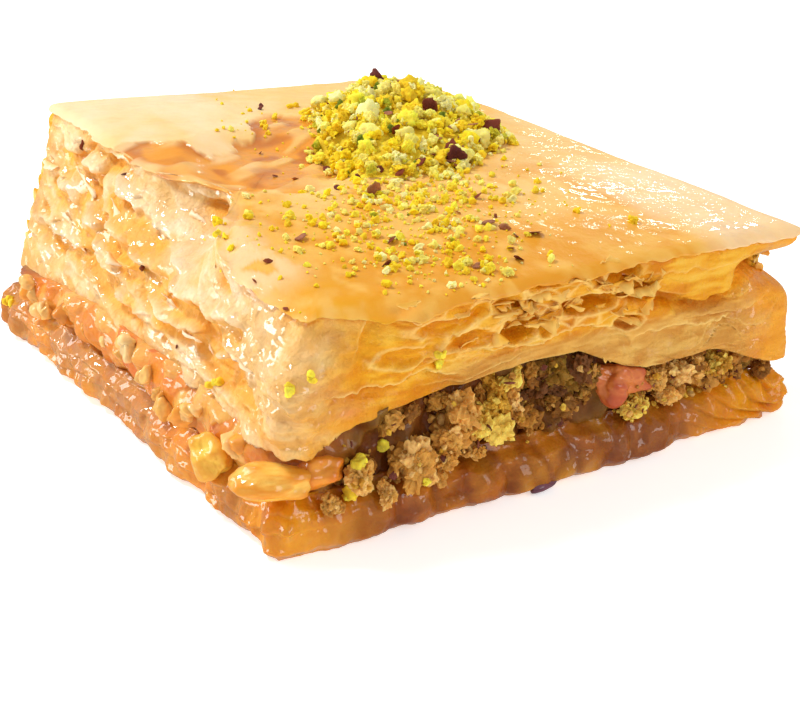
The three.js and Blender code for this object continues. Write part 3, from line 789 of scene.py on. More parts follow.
def make_body():
    loops, tints, wet = [], [], []
    far_side = HIDDEN * 1.5
    tip = smooth((11 - RIGHT_TIP) / 9)
    for share in np.linspace(0.0, 1.0, BODY_ROWS):
        outline = face_outline(share)
        x, y = outline.T
        z = mix(underside(x, y), crust_top(x, y), share)
        front = front_relief(x, y, z)
        left = left_relief(x, y, share)
        inset = mix(mix(front[0], far_side, HIDDEN), left[0], LEFTNESS)
        inset = inset + CORNERNESS * corner_relief(x, y, z) + 0.15
        inset = inset + SHOULDER * smooth((share - 0.62) / 0.38) ** 1.5 + 0.3 * smooth((share - 0.95) / 0.05)
        inset = inset * (1 - 0.7 * tip * smooth((share - 0.5) / 0.1))
        xy = outline - outward_of(outline) * inset[:, None]
        gap = 4.8 * bell((share - GAP_SHARE) / 0.12) * tip
        xy = xy + INWARD_OF_RIGHT_TIP * gap[:, None]
        x, y = xy.T
        height = mix(underside(x, y) + 0.1, crust_top(x, y) - 0.2, share)
        fringe = ripples(x, y, (0.2, 1.1, 561), (0.05, 0.4, 562))
        height += (LEFTNESS + smooth((16 - NEAR_TIP) / 8)) * (fringe - 0.3) * smooth((0.06 - share) / 0.06)
        loops.append(np.column_stack([x, y, height]))
        tint = body_colors(*outline.T, z, front, left)
        tints.append(blend_colors(tint, crust_colors(x, y), CORNERNESS * smooth((share - 0.86) / 0.14)))
        wet.append(body_wetness(*outline.T, z, front[2]))
    foot = loops[0]
    tuck = foot.copy()
    tuck[:, :2] -= outward_of(foot[:, :2]) * 0.5
    tuck[:, 2] = underside(tuck[:, 0], tuck[:, 1]) + 0.45
    inner = [shrunk(foot, scale) for scale in (0.4, 0.8, 0.93)]
    for ring in inner:
        ring[:, 2] = underside(ring[:, 0], ring[:, 1]) + 0.3
    outer = []
    for scale, depth in ((0.94, 1.0), (0.86, 2.2), (0.6, 3.2), (0.3, 3.2)):
        ring = shrunk(loops[-1], scale)
        ring[:, 2] = crust_top(ring[:, 0], ring[:, 1]) - depth
        outer.append(ring)
    tints, wet = (values[:1] * (len(inner) + 1) + values + values[-1:] * len(outer)
                  for values in (tints, wet))
    piece = make_lofted("pastry_body", np.array(inner + [tuck] + loops + outer), body_finish, np.array(tints),
                        np.array(wet))
    finish_piece(piece, PASTRY)


# Leaves of thin sheets whose edges show on the two sides away from the near corner

LEAF_COUNT = 14
LEAF_DEPTH = 3.4
SURFACE_RINGS = np.array([0.0, 0.55, 0.86, 1.0])
EDGE_RINGS = np.array([0.25, 0.75])
CRUST_THICKNESS = 0.22
LEAF_COLUMNS = np.flatnonzero(HIDDEN > 0.02)


def layer_fields(points, reach):
    """Height of the space under each leaf and of each leaf, before they are fitted to the stack."""
    x, y = points[..., 0], points[..., 1]
    outer = mix(0.25, 1.0, smooth((reach + LEAF_DEPTH) / LEAF_DEPTH))
    gaps, leaves = [], []
    for level in range(LEAF_COUNT + 1):
        opening = np.clip(noise(x / 4.4, y / 4.4, level * 3.7, 101)
                          + 0.55 * noise(x / 2.0, y / 2.0, level * 5.3, 102) - 0.1, 0, None)
        gaps.append(0.02 + 1.2 * opening * outer)
        uneven = 0.75 * noise(x / 8, y / 8, level * 2.9, 103) + 0.4 * noise(x / 3, y / 3, level * 4.3, 104)
        leaves.append(0.36 * np.exp(uneven))
    return np.array(gaps), np.array(leaves)


def leaf_edge(level):
    """How far a leaf stands out of the cut face, round the perimeter."""
    wide = noise(OUTLINE_X / 5.5, OUTLINE_Y / 5.5, level * 2.9, 201)
    middle = noise(OUTLINE_X / 1.7, OUTLINE_Y / 1.7, level * 4.1, 202)
    fine = noise(OUTLINE_X / 0.6, OUTLINE_Y / 0.6, level * 6.1, 203)
    shown = -0.3 + 0.5 * wide + 0.26 * middle + 0.1 * fine
    buried = smooth((0.75 - HIDDEN) / 0.5) + smooth((7 - RIGHT_TIP) / 4)
    return shown - 2.6 * np.clip(buried, 0, 1)


def leaf_colors(points, reach, rim):
    """Pale dry edges, golden faces and amber depths."""
    x, y, z = (points[..., axis] for axis in range(3))
    depth = smooth((reach + 1.3) / 1.3)
    streak = rough(x / 2.4, y / 2.4, z / 0.6, 401)
    tone = blend_colors(FRONT_DEEP, FRONT_AMBER, smooth(0.4 + 0.5 * streak + 0.5 * depth))
    tone = blend_colors(tone, FRONT_GOLD, 0.9 * smooth(0.5 * depth + 0.7 * streak))
    return blend_colors(tone, FRONT_RIM, 0.85 * rim * smooth(0.4 + 0.8 * streak))


def make_leaf(level, bottoms, tops):
    share_line = (level + 1) / (LEAF_COUNT + 1)
    outline = face_outline(share_line)
    outward = outward_of(outline)
    edge = leaf_edge(level)
    curl = 0.3 * noise(OUTLINE_X / 1.8, OUTLINE_Y / 1.8, level * 2.3, 303)
    rows, reaches, rims = [], [], []

    def add_row(reach, share, ring, rim):
        xy = outline + outward * reach[:, None]
        x, y = xy.T
        height = mix(underside(x, y) + 0.1, crust_top(x, y) - CRUST_THICKNESS, share) + curl * ring ** 5
        rows.append(np.column_stack([x, y, np.maximum(height, underside(x, y) + 0.02 * level)]))
        reaches.append(reach)
        rims.append(np.full(COUNT, rim))

    for index, ring in enumerate(SURFACE_RINGS):
        add_row(mix(-LEAF_DEPTH, edge, ring), tops[:, index], ring, smooth((ring - 0.84) / 0.16))
    for part in EDGE_RINGS:
        grain = 0.07 * noise(OUTLINE_X / 0.7, OUTLINE_Y / 0.7, level * 7.7 + part * 5, 304)
        add_row(edge + 0.05 + grain, mix(tops[:, -1], bottoms[:, -1], part), 1.0, 1.0)
    for index, ring in reversed(list(enumerate(SURFACE_RINGS))):
        add_row(mix(-LEAF_DEPTH, edge, ring), bottoms[:, index], ring, smooth((ring - 0.84) / 0.16))
    points = np.array(rows)[:, LEAF_COLUMNS].transpose(1, 0, 2)
    reaches, rims = (np.array(rows)[:, LEAF_COLUMNS].T for rows in (reaches, rims))
    return points, leaf_colors(points, reaches, rims)


def make_leaves():
    outline = face_outline(0.5)
    outward = outward_of(outline)
    reach = np.broadcast_to(mix(-LEAF_DEPTH, 0.0, SURFACE_RINGS[None, :]), (COUNT, len(SURFACE_RINGS)))
    sample = outline[:, None, :] + outward[:, None, :] * reach[..., None]
    gaps, leaves = layer_fields(sample, reach)
    running = np.cumsum(gaps + leaves, axis=0)
    total = running[-1]
    for name, levels in (("leaves_lower", range(0, 7)), ("leaves_upper", range(7, LEAF_COUNT))):
        points, faces, tints = [], [], []
        first = 0
        for level in levels:
            leaf, tint = make_leaf(level, (running[level] - leaves[level]) / total, running[level] / total)
            columns, rows = leaf.shape[:2]
            points.append(leaf.reshape(-1, 3))
            tints.append(tint.reshape(-1, 3))
            faces += strip_faces(columns, rows, first)
            first += rows * columns
        piece = make_object(name, np.concatenate(points), faces, sheet_finish, np.concatenate(tints))
        turn_faces_outward(piece.data)
        finish_piece(piece, PASTRY)


# Crust: a smooth glazed top that has sunk and split beside the heap

CRUST_CENTER = np.array([-8.5, 3.5])
INNER_RINGS = 34
OUTER_RINGS = 34
INNER_REACH = 10.5
SPLIT_BACK = ((-20.0, -14.3, -12.6, -9.8, -6.6, -4.7, -1.3, 0.9, 5.1),
              (12.0, 10.5, 7.2, 9.2, 11.5, 15.5, 16.4, 15.4, 16.8))
SPLIT_FRONT = ((-20.0, -16.9, -15.7, -12.1, -9.5, -5.0, 0.0, 5.0),
               (0.5, -1.0, -6.0, -3.6, -5.4, -5.0, 0.5, 3.0))
CRUST_PALE = linear(254, 222, 178)
CRUST_TAN = linear(246, 204, 130)
CRUST_GOLD = linear(240, 184, 86)
CRUST_AMBER = linear(230, 158, 46)
SPLIT_AMBER = linear(238, 158, 58)
SPLIT_BROWN = linear(206, 124, 54)


def split_share(x, y):
    """How much of the crust is gone at each place: abrupt at the back of the split, gradual at its front."""
    wave = ripples(x, y, (0.9, 2.2, 631), (0.45, 0.8, 632), (0.2, 0.35, 633))
    back = smooth((np.interp(x, *SPLIT_BACK) + 1.2 * wave - y) / 0.45)
    front = smooth((y - np.interp(x, *SPLIT_FRONT) + 2.4 * wave) / 3.0)
    side = smooth((4.0 - x + 1.5 * wave) / 0.8)
    remnant = smooth((noise((x + 0.5 * y) / 3.4, (y - 0.5 * x) / 1.6, 0.0, 634) - 0.05) / 0.6)
    return back * front * side * (1 - 0.7 * remnant)


def left_rim_share(x, y):
    """How much the crust belongs to its folded wet rim on the left, near the front."""
    return smooth((-15.5 - x + 0.8 * noise(x / 3, y / 3, 0.0, 606)) / 2.5) * window(y, -25, 1, 5)


def crust_height(x, y):
    rolls = ripples(x, y, (0.16, 8.0, 601), (0.06, 3.2, 602))
    to_right = smooth((x - 2) / 14)
    near, _, _ = cells(x / 3.2, y / 3.6, 0.0, 603)
    wrinkle = (1 - np.abs(noise((x + 0.6 * y) / 3.6, (y - 0.6 * x) / 8.0, 0.0, 604))) ** 8
    fold = left_rim_share(x, y) * (1 - np.abs(noise((x + 0.25 * y) / 1.5, y / 9, 0.0, 605))) ** 3
    ridges = to_right * (0.1 * near ** 2 + 0.06 * wrinkle)
    return crust_top(x, y) + rolls + ridges - 0.3 * split_share(x, y) + 0.4 * fold


def crust_colors(x, y):
    warp = 2.6 * noise(x / 7, y / 7, 0.0, 615)
    streak = rough((x + warp) / 5, (y + 1.4 * warp) / 8, 0.0, 611)
    fine = rough((x + warp) / 1.4, y / 1.4, 0.0, 612)
    to_left_corner = corner_distance(x, y, LEFT_CORNER)
    # Paler towards the left corner: partly the crust's own tone, partly painted light where the key lamp
    # falls
    tone = blend_colors(CRUST_TAN, CRUST_PALE, smooth((36 - to_left_corner + 8 * streak) / 22))
    toward_near = smooth((-y - 0.35 * x - 1 + 5 * streak) / 18) * smooth((x + 23.5 + 3 * streak) / 6)
    tone = painted(tone, (CRUST_GOLD, toward_near),
                   (CRUST_AMBER, toward_near * smooth(0.35 + 0.7 * fine + 0.6 * streak)))
    soaked = smooth((x - 4) / 12) * smooth((14 - y + 6 * streak) / 22)
    soaked = soaked * smooth(0.2 + 1.2 * streak + 0.2 * fine)
    tone = painted(tone, (CRUST_AMBER, 0.8 * soaked * smooth((20 - x) / 5)),
                   (CRUST_AMBER, 0.8 * bell(np.hypot((x - 8) / 5, (y + 23.5) / 3) + 0.3 * streak)),
                   (CRUST_PALE, 0.7 * smooth((x - 14 + 4 * streak) / 7) * smooth((-6 - y) / 8)))
    behind = smooth((x - 12) / 10) * smooth((y + 12) / 10) * smooth(0.5 + 0.7 * streak)
    tone = blend_colors(tone, CRUST_GOLD, behind)
    near_rim = smooth((15 - corner_distance(x, y, NEAR_CORNER)) / 8) * smooth((x + 22) / 4)
    tone = painted(tone, (FRONT_AMBER, 0.7 * near_rim * smooth(0.5 + fine)),
                   (LEFT_PALE, 0.85 * left_rim_share(x, y) * smooth(0.6 + fine)))
    split = blend_colors(SPLIT_AMBER, SPLIT_BROWN, smooth(0.1 + 1.2 * noise(x / 1.6, y / 1.6, 0.0, 613)))
    return blend_colors(tone, split, split_share(x, y))


def crust_wetness(x, y):
    """How wet the crust is: at its left rim near the corner, over the right end and in the split."""
    patch = smooth(0.35 + 0.9 * rough(x / 4, y / 4, 0.0, 614))
    right_end = smooth((x - 9.5) / 3) * smooth((-14 - y) / 2.5)
    right_end = right_end * smooth(0.35 + 1.8 * noise(x / 2.6, y / 2.6, 0.0, 617))
    return patch * np.clip(0.1 + 1.4 * left_rim_share(x, y) + right_end + split_share(x, y), 0, 1)


def make_crust():
    outline = face_outline(1.0)
    x, y = outline.T
    edge = ripples(x, y, (0.3, 5, 621), (0.18, 1.3, 622), (0.08, 0.45, 623)) - 0.05 - SHOULDER
    rim = outline + outward_of(outline) * edge[:, None]
    spoke = rim - CRUST_CENTER
    length = np.linalg.norm(spoke, axis=1)
    direction = spoke / length[:, None]
    thickness = CRUST_THICKNESS * mix(0.35, 1.0, smooth((NEAR_TIP - 8) / 8) * (1 - 0.8 * LEFTNESS))
    loops = []

    def add(distance, lift):
        place = CRUST_CENTER + direction * np.broadcast_to(distance, (COUNT,))[:, None]
        loops.append(np.column_stack([place, crust_height(place[:, 0], place[:, 1]) + lift]))

    for share, depth in ((0.3, 1.5), (0.6, 1.3), (0.85, 0.6), (0.95, 0.3)):
        add(length * share, -CRUST_THICKNESS - depth)
    add(length - 0.12, -thickness)
    add(length, -0.55 * thickness)
    add(length - 0.02, -0.2 * thickness)
    for share in np.linspace(1.0, 0.0, OUTER_RINGS) ** 0.9:
        add(mix(np.minimum(INNER_REACH, length - 1.5), length - 0.08, share), 0.0)
    for share in np.linspace(1.0, 0.02, INNER_RINGS)[1:]:
        add(np.minimum(INNER_REACH, length - 1.5) * share, 0.0)
    loops = np.array(loops)
    tints = crust_colors(loops[..., 0], loops[..., 1])
    wet = crust_wetness(loops[..., 0], loops[..., 1])
    finish_piece(make_lofted("crust_sheet", loops, crust_finish, tints, wet), PASTRY)


# Flakes: thin crumpled scraps of sheet, held at one edge and curling away at the other

FLAKE_STEPS = 13
FLAKE_ACROSS = 6
FLAKE_THICKNESS = 0.06


def turn_faces_outward(mesh):
    bm = bmesh.new()
    bm.from_mesh(mesh)
    bmesh.ops.recalc_face_normals(bm, faces=bm.faces)
    bm.to_mesh(mesh)
    bm.free()


def flake_mesh(place, along, out, up, length, width, random):
    """One crumpled scrap, closed all round: its points, faces and how near each point is to the free edge."""
    u, v = np.meshgrid(np.linspace(-0.5, 0.5, FLAKE_STEPS), np.linspace(0.0, 1.0, FLAKE_ACROSS),
                       indexing="ij")
    seed = int(random.integers(100000))
    outline = np.clip(1.15 - (2 * u) ** 2 + 0.5 * noise(u * 5, 0.0, 0.0, seed), 0.08, 1.2)
    across = v * width * outline * (1 + 0.25 * noise(u * 9, v * 2, 0.0, seed + 1))
    crumple = width * (0.3 * noise(u * 3.5, v * 2, 0.0, seed + 2) + 0.12 * noise(u * 9, v * 5, 0.0, seed + 3))
    lift = random.uniform(0.1, 0.8)
    curl = random.uniform(-0.9, 1.6)
    angle = lift + curl * v
    points = place + (u * length)[..., None] * along
    points = points + (across * np.cos(angle))[..., None] * up
    points = points + (across * np.sin(angle) + crumple * (0.25 + v))[..., None] * out
    normal = np.cross(np.gradient(points, axis=0), np.gradient(points, axis=1))
    normal /= np.linalg.norm(normal, axis=2)[..., None] + 1e-12
    ring = np.concatenate([points, (points - FLAKE_THICKNESS * normal)[:, ::-1]], axis=1)
    free = np.concatenate([v, v[:, ::-1]], axis=1)
    return ring.reshape(-1, 3), strip_faces(FLAKE_STEPS, ring.shape[1]), free.ravel()


def make_flakes(name, scraps, held, loose, random):
    """One piece of many scraps, of one colour where they are held and of another at their loose edge."""
    points, faces, tints = [], [], []
    first = 0
    for scrap in scraps:
        part_points, part_faces, free = flake_mesh(*scrap, random)
        points.append(part_points)
        faces += [[index + first for index in face] for face in part_faces]
        tone = random.uniform(0.0, 0.5)
        tints.append(blend_colors(blend_colors(held, loose, tone), loose, smooth(free * 1.4 - 0.2)))
        first += len(part_points)
    piece = make_object(name, np.concatenate(points), faces, shred_finish, np.concatenate(tints))
    turn_faces_outward(piece.data)
    finish_piece(piece, PASTRY)


def face_flakes(random, side, count, alongs, shares, lengths, widths, sink=0.35):
    """Scraps on a cut face of the upper stack, roughly along its layers, opening upward or downward."""
    scraps = []
    for _ in range(count):
        place, out, along = face_place(side, random.uniform(*alongs), random.uniform(*shares))
        up = np.array([0.0, 0.0, 1.0]) * random.choice((-1.0, 1.0), p=(0.45, 0.55))
        tilt = random.normal(0, 0.25)
        way = np.cos(tilt) * along + np.sin(tilt) * up
        width_way = np.cos(tilt) * up - np.sin(tilt) * along
        place = place - out * (sink + random.uniform(-0.15, 0.35))
        scraps.append((place, way, out, width_way, random.uniform(*lengths), random.uniform(*widths)))
    return scraps


# Scraps seen on the front: place along it, height, length, width and direction of opening
FRONT_SCRAPS = ((-6.0, 18.7, 2.6, 1.0, 1), (-4.4, 18.6, 2.2, 0.8, -1), (1.4, 17.3, 3.4, 0.9, 1),
                (2.9, 18.0, 2.4, 1.2, 1), (5.4, 17.2, 2.6, 1.1, 1), (9.4, 16.2, 2.6, 1.5, 1),
                (10.7, 15.4, 2.2, 1.4, -1), (-2.4, 16.6, 2.8, 0.9, -1), (2.0, 16.6, 2.6, 0.8, 1),
                (11.2, 16.6, 2.0, 1.2, 1), (0.2, 15.4, 1.8, 1.6, 1), (7.2, 14.8, 2.4, 0.9, -1),
                (-0.4, 17.9, 2.4, 0.9, 1), (8.0, 17.3, 2.0, 1.0, 1), (10.4, 14.6, 2.2, 1.0, -1),
                (7.2, 10.6, 2.0, 0.7, -1), (-12.4, 19.0, 2.0, 0.6, -1), (6.6, 18.7, 2.2, 0.8, 1),
                (-8.2, 17.6, 2.4, 0.7, -1))


# Depth of the near cut side, and how many scraps lie on it, on each of the far sides and on the left
FRONT_DEPTH = -29.0
SMALL_SCRAPS = 40
FAR_SCRAPS = 24
LEFT_SCRAPS = 12


def make_scraps():
    random = np.random.default_rng(651)
    up = np.array([0.0, 0.0, 1.0])
    along = np.array([1.0, 0.0, 0.0])
    out = np.array([0.0, -1.0, 0.0])
    chosen = []
    for x, z, length, width, opening in FRONT_SCRAPS:
        place = np.array([x, FRONT_DEPTH, z - 0.3 * opening])
        chosen.append((place, along, out, up * opening, length, width))
    chosen += face_flakes(random, FRONT, SMALL_SCRAPS, (0.28, 0.68), (0.42, 0.92), (0.9, 2.6), (0.35, 1.0))
    make_flakes("flakes_front", chosen, FRONT_AMBER, FLAKE_GOLD, random)
    sides = []
    for side, first in ((RIGHT, 0.1), (BACK, 0.05)):
        sides += face_flakes(random, side, FAR_SCRAPS, (first, 0.95), (0.2, 0.9), (1.4, 4.0), (0.4, 1.2),
                             sink=0.6)
    make_flakes("flakes_far", sides, FRONT_GOLD, FRONT_RIM, random)
    left = face_flakes(random, LEFT, LEFT_SCRAPS, (0.03, 0.95), (0.12, 0.95), (2.5, 6.0), (0.4, 1.0),
                       sink=0.5)
    make_flakes("flakes_left", left, LEFT_TONE, LEFT_RIM, random)


# Base: soaked layers, pressed and glassy with syrup

BASE_ROWS = 44
BASE_LIP = 0.14


# Colours of the soaked base
SOAKED_DARK = linear(140, 72, 10)
SOAKED = linear(188, 110, 18)
SOAKED_AMBER = linear(214, 150, 40)
SOAKED_PINK = linear(208, 122, 46)
SOAKED_ORANGE = linear(236, 156, 16)
# Painted reflection of the white floor, laid along the base's bottom edge
PAINTED_FLOOR_REFLECTION = linear(206, 150, 96)
SOAKED_PEACH = linear(204, 140, 74)
SOAKED_TAN = linear(206, 138, 54)
SOAKED_GLOW = linear(234, 154, 46)


def make_base():
    corners = PLAN + np.array([[0.3, 0.3], [-0.3, 0.3], [-0.3, -0.3], [0.3, -0.3]])
    outline = plan_loop(corners, (3.4, 2.2, 2.2, 2.2))
    outward = outward_of(outline)
    x, y = outline.T
    right_end = FRONTNESS * smooth((x - 13) / 9) + 0.6 * smooth((10 - RIGHT_TIP) / 8)
    near_end = smooth((11 - NEAR_TIP) / 7)
    uneven = ripples(x, y, (0.5, 8, 701), (0.35, 3, 709))
    loops, tints = [], []
    for share in np.linspace(0.0, 1.0, BASE_ROWS):
        z = share * BASE_TOP
        rounding = 0.7 * bell(share / 0.1) + 1.3 * bell((1 - share) / 0.2)
        warp = 0.5 * noise(x / 6, y / 6, share * 2, 702)
        near, gap, _ = cells(x / 3.3 + 0.3 * warp, y / 3.3, z / 10 + 0.4 * warp, 703)
        calm = mix(1, 0.3, np.maximum(right_end, near_end))
        crease = bell(gap / 0.22) * calm
        lump = mix(1.0, 0.4, LEFTNESS) * smooth(1.25 - 1.3 * near) * calm
        place = share * 3.0 + 1.3 * warp + 0.1 * x * right_end
        profile = sawtooth(place - np.floor(place), BASE_LIP)
        fold = (0.08 + 0.5 * right_end + 0.12 * LEFTNESS) * profile
        fine = waves(x, y, z, (0.2, 0.9, 1.3, 704), (0.08, 0.4, 0.5, 708))
        fine = fine + 0.4 * LEFTNESS * noise(x / 2.4, y / 2.4, z / 1.6, 715)
        melted = near_end * rough((x - y) / 1.6, z / 5, 0.0, 717)
        inset = 0.6 + rounding + fold - lump * np.sin(np.pi * min(share + 0.15, 1.0)) + fine + 0.6 * uneven
        inset = inset + 0.15 * crease + 0.3 * melted
        inset = np.maximum(inset + 0.5 * share * FRONTNESS, -0.1)
        xy = outline - outward * inset[:, None]
        height = np.full(COUNT, z) + 0.25 * noise(x / 4, y / 4, share * 2, 705) * np.sin(np.pi * share)
        loops.append(np.column_stack([xy, height]))
        streak = rough(x / 2.6, y / 2.6, share * 2.4, 711)
        front = blend_colors(SOAKED_DARK, SOAKED, smooth(0.45 + 0.9 * streak))
        pink = smooth(0.1 + 1.1 * noise(x / 3.4, y / 3.4, z / 3, 714) - 0.4 * near)
        front = blend_colors(front, SOAKED_PINK, pink)
        # Painted light: an amber glow in the middle of each bulge of the front
        painted_glow = smooth(1.5 - 2.2 * near) * smooth(0.2 + 1.2 * noise(x / 4, y / 4, z / 4, 713))
        # Painted shade: SOAKED_DARK darkens the creases between the bulges
        front = painted(front, (SOAKED_AMBER, painted_glow), (SOAKED_DARK, 0.6 * crease),
                        (SOAKED_ORANGE, np.clip(right_end + near_end, 0, 1) * 0.9),
                        # Painted reflection of the white floor along the bottom edge
                        (PAINTED_FLOOR_REFLECTION, 0.55 * smooth((0.13 - share) / 0.1) * (1 - near_end)))
        left = blend_colors(SOAKED_PEACH, SOAKED_TAN, smooth(0.5 + streak))
        amber = smooth(0.1 + 1.2 * noise(x / 6, y / 6, share, 712) + 0.7 * bell((y + 13) / 7))
        left = blend_colors(left, SOAKED_GLOW, 0.85 * amber)
        tints.append(blend_colors(front, left, LEFTNESS * smooth((NEAR_TIP - 5) / 9)))
    top = loops[-1]
    for scale in (0.98, 0.955, 0.93, 0.9, 0.87, 0.8, 0.5, 0.2):
        ring = shrunk(top, scale)
        relief = ripples(ring[:, 0], ring[:, 1], (0.35, 1.8, 706), (0.15, 0.7, 707))
        ring[:, 2] = BASE_TOP - 0.1 + relief * smooth((1 - scale) / 0.04)
        loops.append(ring)
        # Painted shade: the top of the base darkened on the front, under the nut band
        tints.append(blend_colors(tints[BASE_ROWS - 1], SOAKED_DARK, 0.5 * FRONTNESS))
    front_wet = 0.5 * smooth(0.4 + noise(x / 2, y / 2, 0.0, 716)) * FRONTNESS
    wet = 0.4 + front_wet + 0.6 * np.clip(LEFTNESS + near_end, 0, 1)
    piece = make_lofted("soaked_base", np.array(loops), soaked_finish, np.array(tints),
                        np.broadcast_to(np.clip(wet, 0, 1), (len(loops), COUNT)))
    finish_piece(piece, BASE)


# Small lumps: chopped nuts, crumbs and kernels

def unit_sphere(subdivisions):
    bm = bmesh.new()
    bmesh.ops.create_icosphere(bm, subdivisions=subdivisions, radius=1.0)
    bm.verts.ensure_lookup_table()
    points = np.array([vertex.co[:] for vertex in bm.verts])
    faces = np.array([[vertex.index for vertex in face.verts] for face in bm.faces])
    bm.free()
    return points, faces


SPHERES = {level: unit_sphere(level) for level in (1, 2, 3, 4, 5)}
CUT_SHARPNESS = 14


def random_turns(random, count, lean=1.0):
    """Random rotation matrices; with less lean they turn things mostly about the upright axis."""
    q = random.normal(size=(count, 4)) * (1.0, lean, lean, 1.0)
    q /= np.linalg.norm(q, axis=1)[:, None]
    w, x, y, z = q.T
    return np.stack([
        np.stack([1 - 2 * (y * y + z * z), 2 * (x * y - z * w), 2 * (x * z + y * w)], axis=-1),
        np.stack([2 * (x * y + z * w), 1 - 2 * (x * x + z * z), 2 * (y * z - x * w)], axis=-1),
        np.stack([2 * (x * z - y * w), 2 * (y * z + x * w), 1 - 2 * (x * x + y * y)], axis=-1)], axis=1)


# Flat cuts that give a lump its corners
CUTS = 9


def chunks(places, sizes, random, *, detail, cuts=7, thinnest=(0.6, 0.6, 0.6), thickest=(1.0, 1.0, 1.0),
           bumpiness=0.15, grain=1.6, lean=1.0, seed=1):
    """Points and faces of chopped lumps: balls cut by random planes, stretched, roughened and turned."""
    sphere, faces = SPHERES[detail]
    count = len(places)
    normals = random.normal(size=(count, cuts, 3))
    normals /= np.linalg.norm(normals, axis=2)[..., None]
    depths = random.uniform(0.5, 0.95, (count, cuts))
    facing = np.clip(np.einsum("vk,nck->ncv", sphere, normals) / depths[..., None], 0, None)
    radius = (1 + (facing ** CUT_SHARPNESS).sum(axis=1)) ** (-1 / CUT_SHARPNESS)
    shape = sphere[None] * radius[..., None]
    at = shape * grain + random.uniform(-50, 50, size=(count, 1, 3))
    relief = rough(at[..., 0], at[..., 1], at[..., 2], seed, octaves=4 if detail > 3 else 3, gain=0.6)
    shape = shape * (1 + bumpiness * relief[..., None])
    shape = shape * random.uniform(thinnest, thickest, size=(count, 1, 3)) * np.asarray(sizes)[:, None, None]
    shape = np.einsum("nij,nvj->nvi", random_turns(random, count, lean), shape)
    numbers = faces[None] + (np.arange(count) * len(sphere))[:, None, None]
    return shape + np.asarray(places)[:, None, :], numbers.reshape(-1, 3), relief


def add_chunks(name, places, sizes, colors, material, part, random, flat=False, **shape):
    """One piece of many lumps, each of a colour picked from the list, with painted shade in its hollows."""
    points, faces, relief = chunks(np.asarray(places), sizes, random, **shape)
    count = len(points)
    tone = np.array(colors)[random.integers(0, len(colors), count)]
    tone = tone * random.uniform(0.84, 1.08, size=(count, 1))
    # Painted shade: each lump is darker where its rough relief sinks in
    tint = np.clip(tone[:, None, :] * (1 + 0.22 * relief)[..., None], 0, 1)
    piece = make_object(name, points.reshape(-1, 3), faces, material, tint.reshape(-1, 3), flat=flat)
    finish_piece(piece, part)


# Nut band

NUT_TAN = palette((236, 182, 96), (222, 166, 80), (244, 196, 118), (206, 150, 68))
NUT_BROWN = palette((188, 132, 54), (168, 114, 44), (206, 152, 72), (146, 96, 38))
NUT_OLIVE = palette((152, 112, 38), (128, 90, 32), (170, 132, 50), (116, 72, 36))
NUT_YELLOW = palette((238, 194, 76), (224, 176, 62), (246, 212, 98), (208, 156, 54))
NUT_WET = palette((242, 184, 94), (238, 160, 58), (230, 142, 46), (244, 194, 118))
NUT_RED = linear(226, 120, 30)
# Dark brown painted into the nut core's recesses as shade
NUT_DARK = linear(124, 68, 24)
NUT_SKIN = palette((118, 62, 50), (94, 46, 34), (142, 84, 66))

# Clumps seen on the front: place along it, depth, height and size of each
FRONT_CLUMPS = {
    "tan": (NUT_TAN, (
        (-12.8, -28.9, 5.6, 2.2), (-10.0, -29.1, 5.1, 1.9), (-7.3, -28.6, 8.2, 2.3),
        (15.2, -28.2, 6.5, 2.0), (-8.8, -28.7, 6.8, 1.6), (12.8, -28.0, 6.7, 1.7),
        (-16.6, -29.0, 5.4, 1.5), (-19.0, -29.4, 4.2, 1.0), (-2.2, -28.4, 7.7, 1.3),
        (17.7, -28.1, 6.7, 1.5), (13.8, -28.7, 5.3, 1.1), (-14.7, -29.7, 3.9, 1.0),
        (-6.4, -29.3, 5.2, 0.8))),
    "yellow": (NUT_YELLOW, (
        (-5.0, -29.0, 6.8, 1.7), (-3.0, -28.2, 9.9, 1.8), (19.8, -28.3, 6.4, 1.5),
        (10.6, -28.9, 5.1, 1.4), (-4.2, -28.6, 8.6, 1.2))),
    "olive": (NUT_OLIVE, (
        (0.8, -27.5, 10.2, 2.0), (3.8, -27.4, 9.8, 2.1), (2.2, -27.3, 7.6, 1.6), (5.8, -27.3, 8.4, 1.6),
        (23.5, -27.7, 5.7, 1.2), (-0.6, -27.3, 8.6, 1.4)))
}


def band_place(side, along, inset, share):
    """Places in the nut band: share along a side, inset from the base outline, share of the band's height."""
    start = PLAN[side]
    way = PLAN[(side + 1) % 4] - start
    inward = np.array([-way[1], way[0]]) / np.linalg.norm(way)
    xy = start + way * np.asarray(along)[:, None] + inward * np.asarray(inset)[:, None]
    return np.column_stack([xy, mix(BASE_TOP, underside(xy[:, 0], xy[:, 1]), share)])


NUT_ROWS = 22


